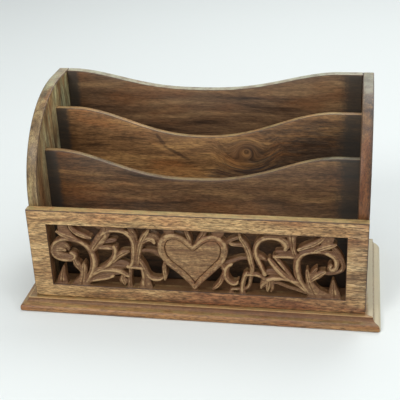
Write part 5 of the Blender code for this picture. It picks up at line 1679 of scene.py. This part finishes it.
def make_base():
    """The base with its holes cut, and its top darkened where the body stands."""
    maker = new_piece("base_maker", mesh_from(base_shape(), "base"))
    cutters = []
    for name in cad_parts:
        if name.startswith("screw"):
            cutters.append(shank_cutter(name, -OVERRUN, base_high.z + OVERRUN))
            cutters.append(countersink_cutter(name))
    cut_out(maker, cutters)
    mesh = settle(maker, cutters)
    places = mesh_places(mesh)
    hollow = np.empty(len(places))
    mesh.attributes["hollow"].data.foreach_get("value", hollow)
    in_body = ((np.abs(places[:, 0]) < body_high.x - BODY_MARGIN)
               & (places[:, 1] > panel_low.y + BODY_MARGIN)
               & (places[:, 1] < body_high.y - BODY_MARGIN)
               & (places[:, 2] > base_high.z - 0.1 * MM))
    darkened = np.where(in_body, UNDER_BODY_DARKENING, hollow)
    mesh.attributes["hollow"].data.foreach_set("value", darkened)
    piece = finish_mesh("base_moulded", mesh, base_wood)
    stand_for(piece, ["base_board"])


make_base()

# %% [markdown]
# ## Screws and dowels
#
# Sixteen countersunk screws come up from below, and eight fluted dowels lie across the joints.
# One Geometry Nodes tree builds a screw from a cone, a rod and a spiral thread, cuts the cross in
# its head and sets a copy on every point. A fixed seed gives each copy a turn of its own, since no
# two screws stop at the same angle. A second tree extrudes a star into a dowel.

# %% Measure where they go
screw_names = sorted(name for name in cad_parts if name.startswith("screw"))
dowel_names = sorted(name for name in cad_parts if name.startswith("dowel"))
screw_low, screw_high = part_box(screw_names[0])
SCREW_LENGTH = screw_high.z - screw_low.z
HEAD_RADIUS = (screw_high.x - screw_low.x) / 2
HEAD_HEIGHT = 1.9 * MM
SLOT_WIDTH, SLOT_DEPTH = 0.75 * MM, 1.1 * MM
FLUTES = 14
SEED = 7
steel, steel_tree, steel_shader = new_material("plated_steel", 0.34)
steel_shader.inputs["Metallic"].default_value = 1.0
steel_place = add_node(steel_tree, "ShaderNodeTexCoord").outputs["Object"]
steel_grit = noise(steel_tree, steel_place, 900.0, detail=3.0, roughness=0.6)
steel_tree.links.new(mix_colour(steel_tree, steel_grit, screen_colour(150, 138, 110),
                                screen_colour(190, 182, 160)), steel_shader.inputs["Base Color"])
steel_tree.links.new(smooth_range(steel_tree, steel_grit, 0.2, 0.8, 0.26, 0.5),
                     steel_shader.inputs["Roughness"])
dowel_wood = waxed_wood(
    "plain_dowel", (170, 138, 98), (200, 170, 128), (220, 194, 154), (190, 150, 108), arris=0.0,
    hollow=0.0)
print(f"{len(screw_names)} screws of {SCREW_LENGTH / MM:.0f} mm, {len(dowel_names)} dowels")


# %% Build the screw tree
def lifted(tree, geometry, height):
    """The geometry moved up by a height."""
    return add_node(tree, "GeometryNodeTransform",
                    {"Geometry": geometry, "Translation": combine(tree, z=height)})


def build_screw_tree():
    """A countersunk screw set on every point, its head down at the point's height."""
    tree, given, result = start_group(
        "Screw", "GeometryNodeTree",
        [("Points", "Geometry", None), ("Head Radius", "Float", None),
         ("Head Height", "Float", None), ("Shank Radius", "Float", None),
         ("Length", "Float", None), ("Seed", "Int", None),
         ("Material", "Material", None)], [("Geometry", "Geometry")])
    value = given.outputs
    head = add_node(tree, "GeometryNodeMeshCone",
                    {"Vertices": 32, "Radius Bottom": value["Head Radius"],
                     "Radius Top": value["Shank Radius"], "Depth": value["Head Height"]})
    shank_length = maths(tree, "SUBTRACT", value["Length"], value["Head Height"])
    shank = add_node(tree, "GeometryNodeMeshCone",
                     {"Vertices": 20, "Radius Bottom": maths(tree, "MULTIPLY",
                                                             value["Shank Radius"], 0.8),
                      "Radius Top": 0.3 * MM, "Side Segments": 1, "Depth": shank_length})
    raised = lifted(tree, shank.outputs["Mesh"], value["Head Height"])
    spiral = add_node(tree, "GeometryNodeCurveSpiral",
                      {"Resolution": 16, "Rotations": 8.0,
                       "Start Radius": maths(tree, "MULTIPLY", value["Shank Radius"], 0.78),
                       "End Radius": maths(tree, "MULTIPLY", value["Shank Radius"], 0.45),
                       "Height": maths(tree, "MULTIPLY", shank_length, 0.75)})
    ridge = add_node(tree, "GeometryNodeCurvePrimitiveCircle", {"Resolution": 3,
                                                                "Radius": 0.32 * MM})
    thread = add_node(tree, "GeometryNodeCurveToMesh",
                      {"Curve": spiral.outputs[0], "Profile Curve": ridge.outputs[0],
                       "Fill Caps": True})
    smooth_part = maths(tree, "MULTIPLY", shank_length, 0.12)
    wound = lifted(tree, thread.outputs[0], maths(tree, "ADD", value["Head Height"], smooth_part))
    arm = maths(tree, "MULTIPLY", value["Head Radius"], 1.25)
    slots = []
    for wide, deep in ((arm, SLOT_WIDTH), (SLOT_WIDTH, arm)):
        extent = combine(tree, wide, deep, 2 * SLOT_DEPTH)
        slots.append(add_node(tree, "GeometryNodeMeshCube", {"Size": extent}))
    crossed = add_node(tree, "GeometryNodeMeshBoolean", {"Mesh 1": head.outputs["Mesh"]},
                       operation="DIFFERENCE", solver="EXACT")
    for slot in slots:
        tree.links.new(slot.outputs["Mesh"], crossed.inputs["Mesh 2"])
    whole = tree.nodes.new("GeometryNodeJoinGeometry")
    for part in (crossed, raised, wound):
        tree.links.new(part.outputs[0], whole.inputs[0])
    turn = add_node(tree, "FunctionNodeRandomValue",
                    {"Min": (0, 0, 0), "Max": (0, 0, math.tau), "Seed": value["Seed"]},
                    data_type="FLOAT_VECTOR")
    copies = add_node(tree, "GeometryNodeInstanceOnPoints",
                      {"Points": value["Points"], "Instance": whole.outputs[0],
                       "Rotation": turn.outputs[0]})
    return end_geometry(tree, copies.outputs[0], value["Material"], result)


screw_tree = build_screw_tree()
print("Tree", screw_tree.name, "with", len(screw_tree.nodes), "nodes")


# %% Build the dowel tree
def build_dowel_tree():
    """A fluted dowel set on every point, with its middle at the point."""
    tree, given, result = start_group(
        "Dowel", "GeometryNodeTree",
        [("Points", "Geometry", None), ("Radius", "Float", None),
         ("Length", "Float", None), ("Flutes", "Int", None),
         ("Rotation", "Vector", None), ("Material", "Material", None)],
        [("Geometry", "Geometry")])
    value = given.outputs
    star = add_node(tree, "GeometryNodeCurveStar",
                    {"Points": value["Flutes"], "Outer Radius": value["Radius"],
                     "Inner Radius": maths(tree, "MULTIPLY", value["Radius"], 0.9)})
    end_face = add_node(tree, "GeometryNodeFillCurve", {"Curve": star.outputs[0]}, mode="NGONS")
    grown = add_node(tree, "GeometryNodeExtrudeMesh",
                     {"Mesh": end_face.outputs[0], "Offset": combine(tree, z=value["Length"]),
                      "Offset Scale": 1.0, "Individual": False}, mode="FACES")
    under = add_node(tree, "GeometryNodeFlipFaces", {"Mesh": end_face.outputs[0]})
    joined = tree.nodes.new("GeometryNodeJoinGeometry")
    for part in (grown, under):
        tree.links.new(part.outputs[0], joined.inputs[0])
    closed = add_node(tree, "GeometryNodeMergeByDistance",
                      {"Geometry": joined.outputs[0], "Distance": MERGE})
    centred = lifted(tree, closed.outputs[0], maths(tree, "MULTIPLY", value["Length"], -0.5))
    copies = add_node(tree, "GeometryNodeInstanceOnPoints",
                      {"Points": value["Points"], "Instance": centred.outputs[0],
                       "Rotation": value["Rotation"]})
    return end_geometry(tree, copies.outputs[0], value["Material"], result)


dowel_tree = build_dowel_tree()
print("Tree", dowel_tree.name, "with", len(dowel_tree.nodes), "nodes")


# %% Set the screws and dowels in place
def point_cloud(name, places):
    """An object whose mesh is only points, for a tree to put copies on."""
    mesh = bpy.data.meshes.new(name)
    mesh.from_pydata(places, [], [])
    return new_piece(name, mesh)


screw_feet = [(middle_of(name).x, middle_of(name).y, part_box(name)[0].z) for name in screw_names]
maker = point_cloud("screw_points", screw_feet)
run_tree(maker, screw_tree, {"Head Radius": HEAD_RADIUS, "Head Height": HEAD_HEIGHT,
                             "Shank Radius": SCREW_RADIUS, "Length": SCREW_LENGTH,
                             "Seed": SEED, "Material": steel})
stand_for(finish_mesh("base_screws", settle(maker), steel), screw_names)
for way, axis, turn in (("front", 1, (math.radians(90), 0, 0)),
                        ("back", 0, (0, math.radians(90), 0))):
    names = [name for name in dowel_names if f"_{way}_" in name]
    low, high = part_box(names[0])
    maker = point_cloud(f"dowel_{way}_points", [middle_of(name) for name in names])
    run_tree(maker, dowel_tree, {"Radius": (high.z - low.z) / 2, "Length": high[axis] - low[axis],
                                 "Flutes": FLUTES, "Rotation": turn, "Material": dowel_wood})
    mesh = settle(maker)
    unmarked = np.zeros(len(mesh.vertices))
    set_marks(mesh, unmarked, unmarked)
    stand_for(finish_mesh(f"dowels_{way}", mesh, dowel_wood), names)

# %% [markdown]
# ## Floor and light
#
# The rack stands on a plain pale floor in soft light from all round. The world gives an even
# glow. One broad lamp behind and one overhead light the faces that look up, a key lamp at the
# upper left in front shapes the carving, and a weak lamp lifts the shade at the right. An area
# lamp's power in watts is worked out from its distance and from the share of white that it alone
# gives a facing white surface. Seen directly or in a reflection the world is plain white, which
# gives the wax its pale sheen.

# %% Lay the floor and hang the lamps
FLOOR_REACH = 6.0
floor_mesh = bpy.data.meshes.new("floor")
floor_corners = [(x * FLOOR_REACH, y * FLOOR_REACH, 0.0)
                 for x, y in ((-1, -1), (1, -1), (1, 1), (-1, 1))]
floor_mesh.from_pydata(floor_corners, [], [(0, 1, 2, 3)])
floor = new_piece("floor", floor_mesh)
floor_paper, _, floor_shader = new_material("floor_paper", 0.9)
floor_shader.inputs["Base Color"].default_value = screen_colour(231, 236, 236)
floor_shader.inputs["Specular IOR Level"].default_value = 0.1
floor_mesh.materials.append(floor_paper)

world = bpy.data.worlds.new("studio")
world.use_nodes = True
bpy.context.scene.world = world
sky = world.node_tree
sky.nodes.clear()
glow = add_node(sky, "ShaderNodeBackground", {"Color": (0.98, 1.0, 1.0, 1), "Strength": 0.38})
plain = add_node(sky, "ShaderNodeBackground", {"Color": (0.97, 1.0, 1.0, 1), "Strength": 0.83})
path = sky.nodes.new("ShaderNodeLightPath")
seen = maths(sky, "MAXIMUM", path.outputs["Is Camera Ray"], path.outputs["Is Glossy Ray"])
seen = maths(sky, "MAXIMUM", seen, path.outputs["Is Transmission Ray"])
blend = add_node(sky, "ShaderNodeMixShader", {0: seen, 1: glow.outputs[0], 2: plain.outputs[0]})
add_node(sky, "ShaderNodeOutputWorld", {0: blend.outputs[0]})
LAMP_AIM = Vector((0, 0, 0.08))


def hang_lamp(name, place, size, share, colour):
    """An area lamp. share is how far it alone lights a facing white surface towards white."""
    lamp = bpy.data.lights.new(name, "AREA")
    lamp.shape = "DISK"
    lamp.size = size
    lamp.color = colour
    away = Vector(place) - LAMP_AIM
    lamp.energy = share * math.pi ** 2 * away.length_squared
    thing = bpy.data.objects.new(name, lamp)
    turn = away.to_track_quat("Z", "Y").to_matrix().to_4x4()
    thing.matrix_world = Matrix.Translation(Vector(place)) @ turn
    bpy.context.scene.collection.objects.link(thing)
    print(f"{name}: {lamp.energy:.1f} W")


hang_lamp("lamp_behind", (0.35, 1.05, 1.35), 1.2, 0.36, (0.99, 1.0, 0.99))
hang_lamp("lamp_overhead", (0.25, -0.2, 1.6), 1.2, 0.34, (0.99, 1.0, 1.0))
hang_lamp("lamp_key", (-0.8, -1.5, 1.45), 0.8, 0.38, (1.0, 1.0, 0.98))
hang_lamp("lamp_right", (1.5, -0.7, 1.0), 0.9, 0.14, (1.0, 1.0, 1.0))

# %% [markdown]
# ## The view transform
#
# The standard view transform shows every colour as it was chosen.

# %% Set the view transform
bpy.context.scene.view_settings.view_transform = "Standard"
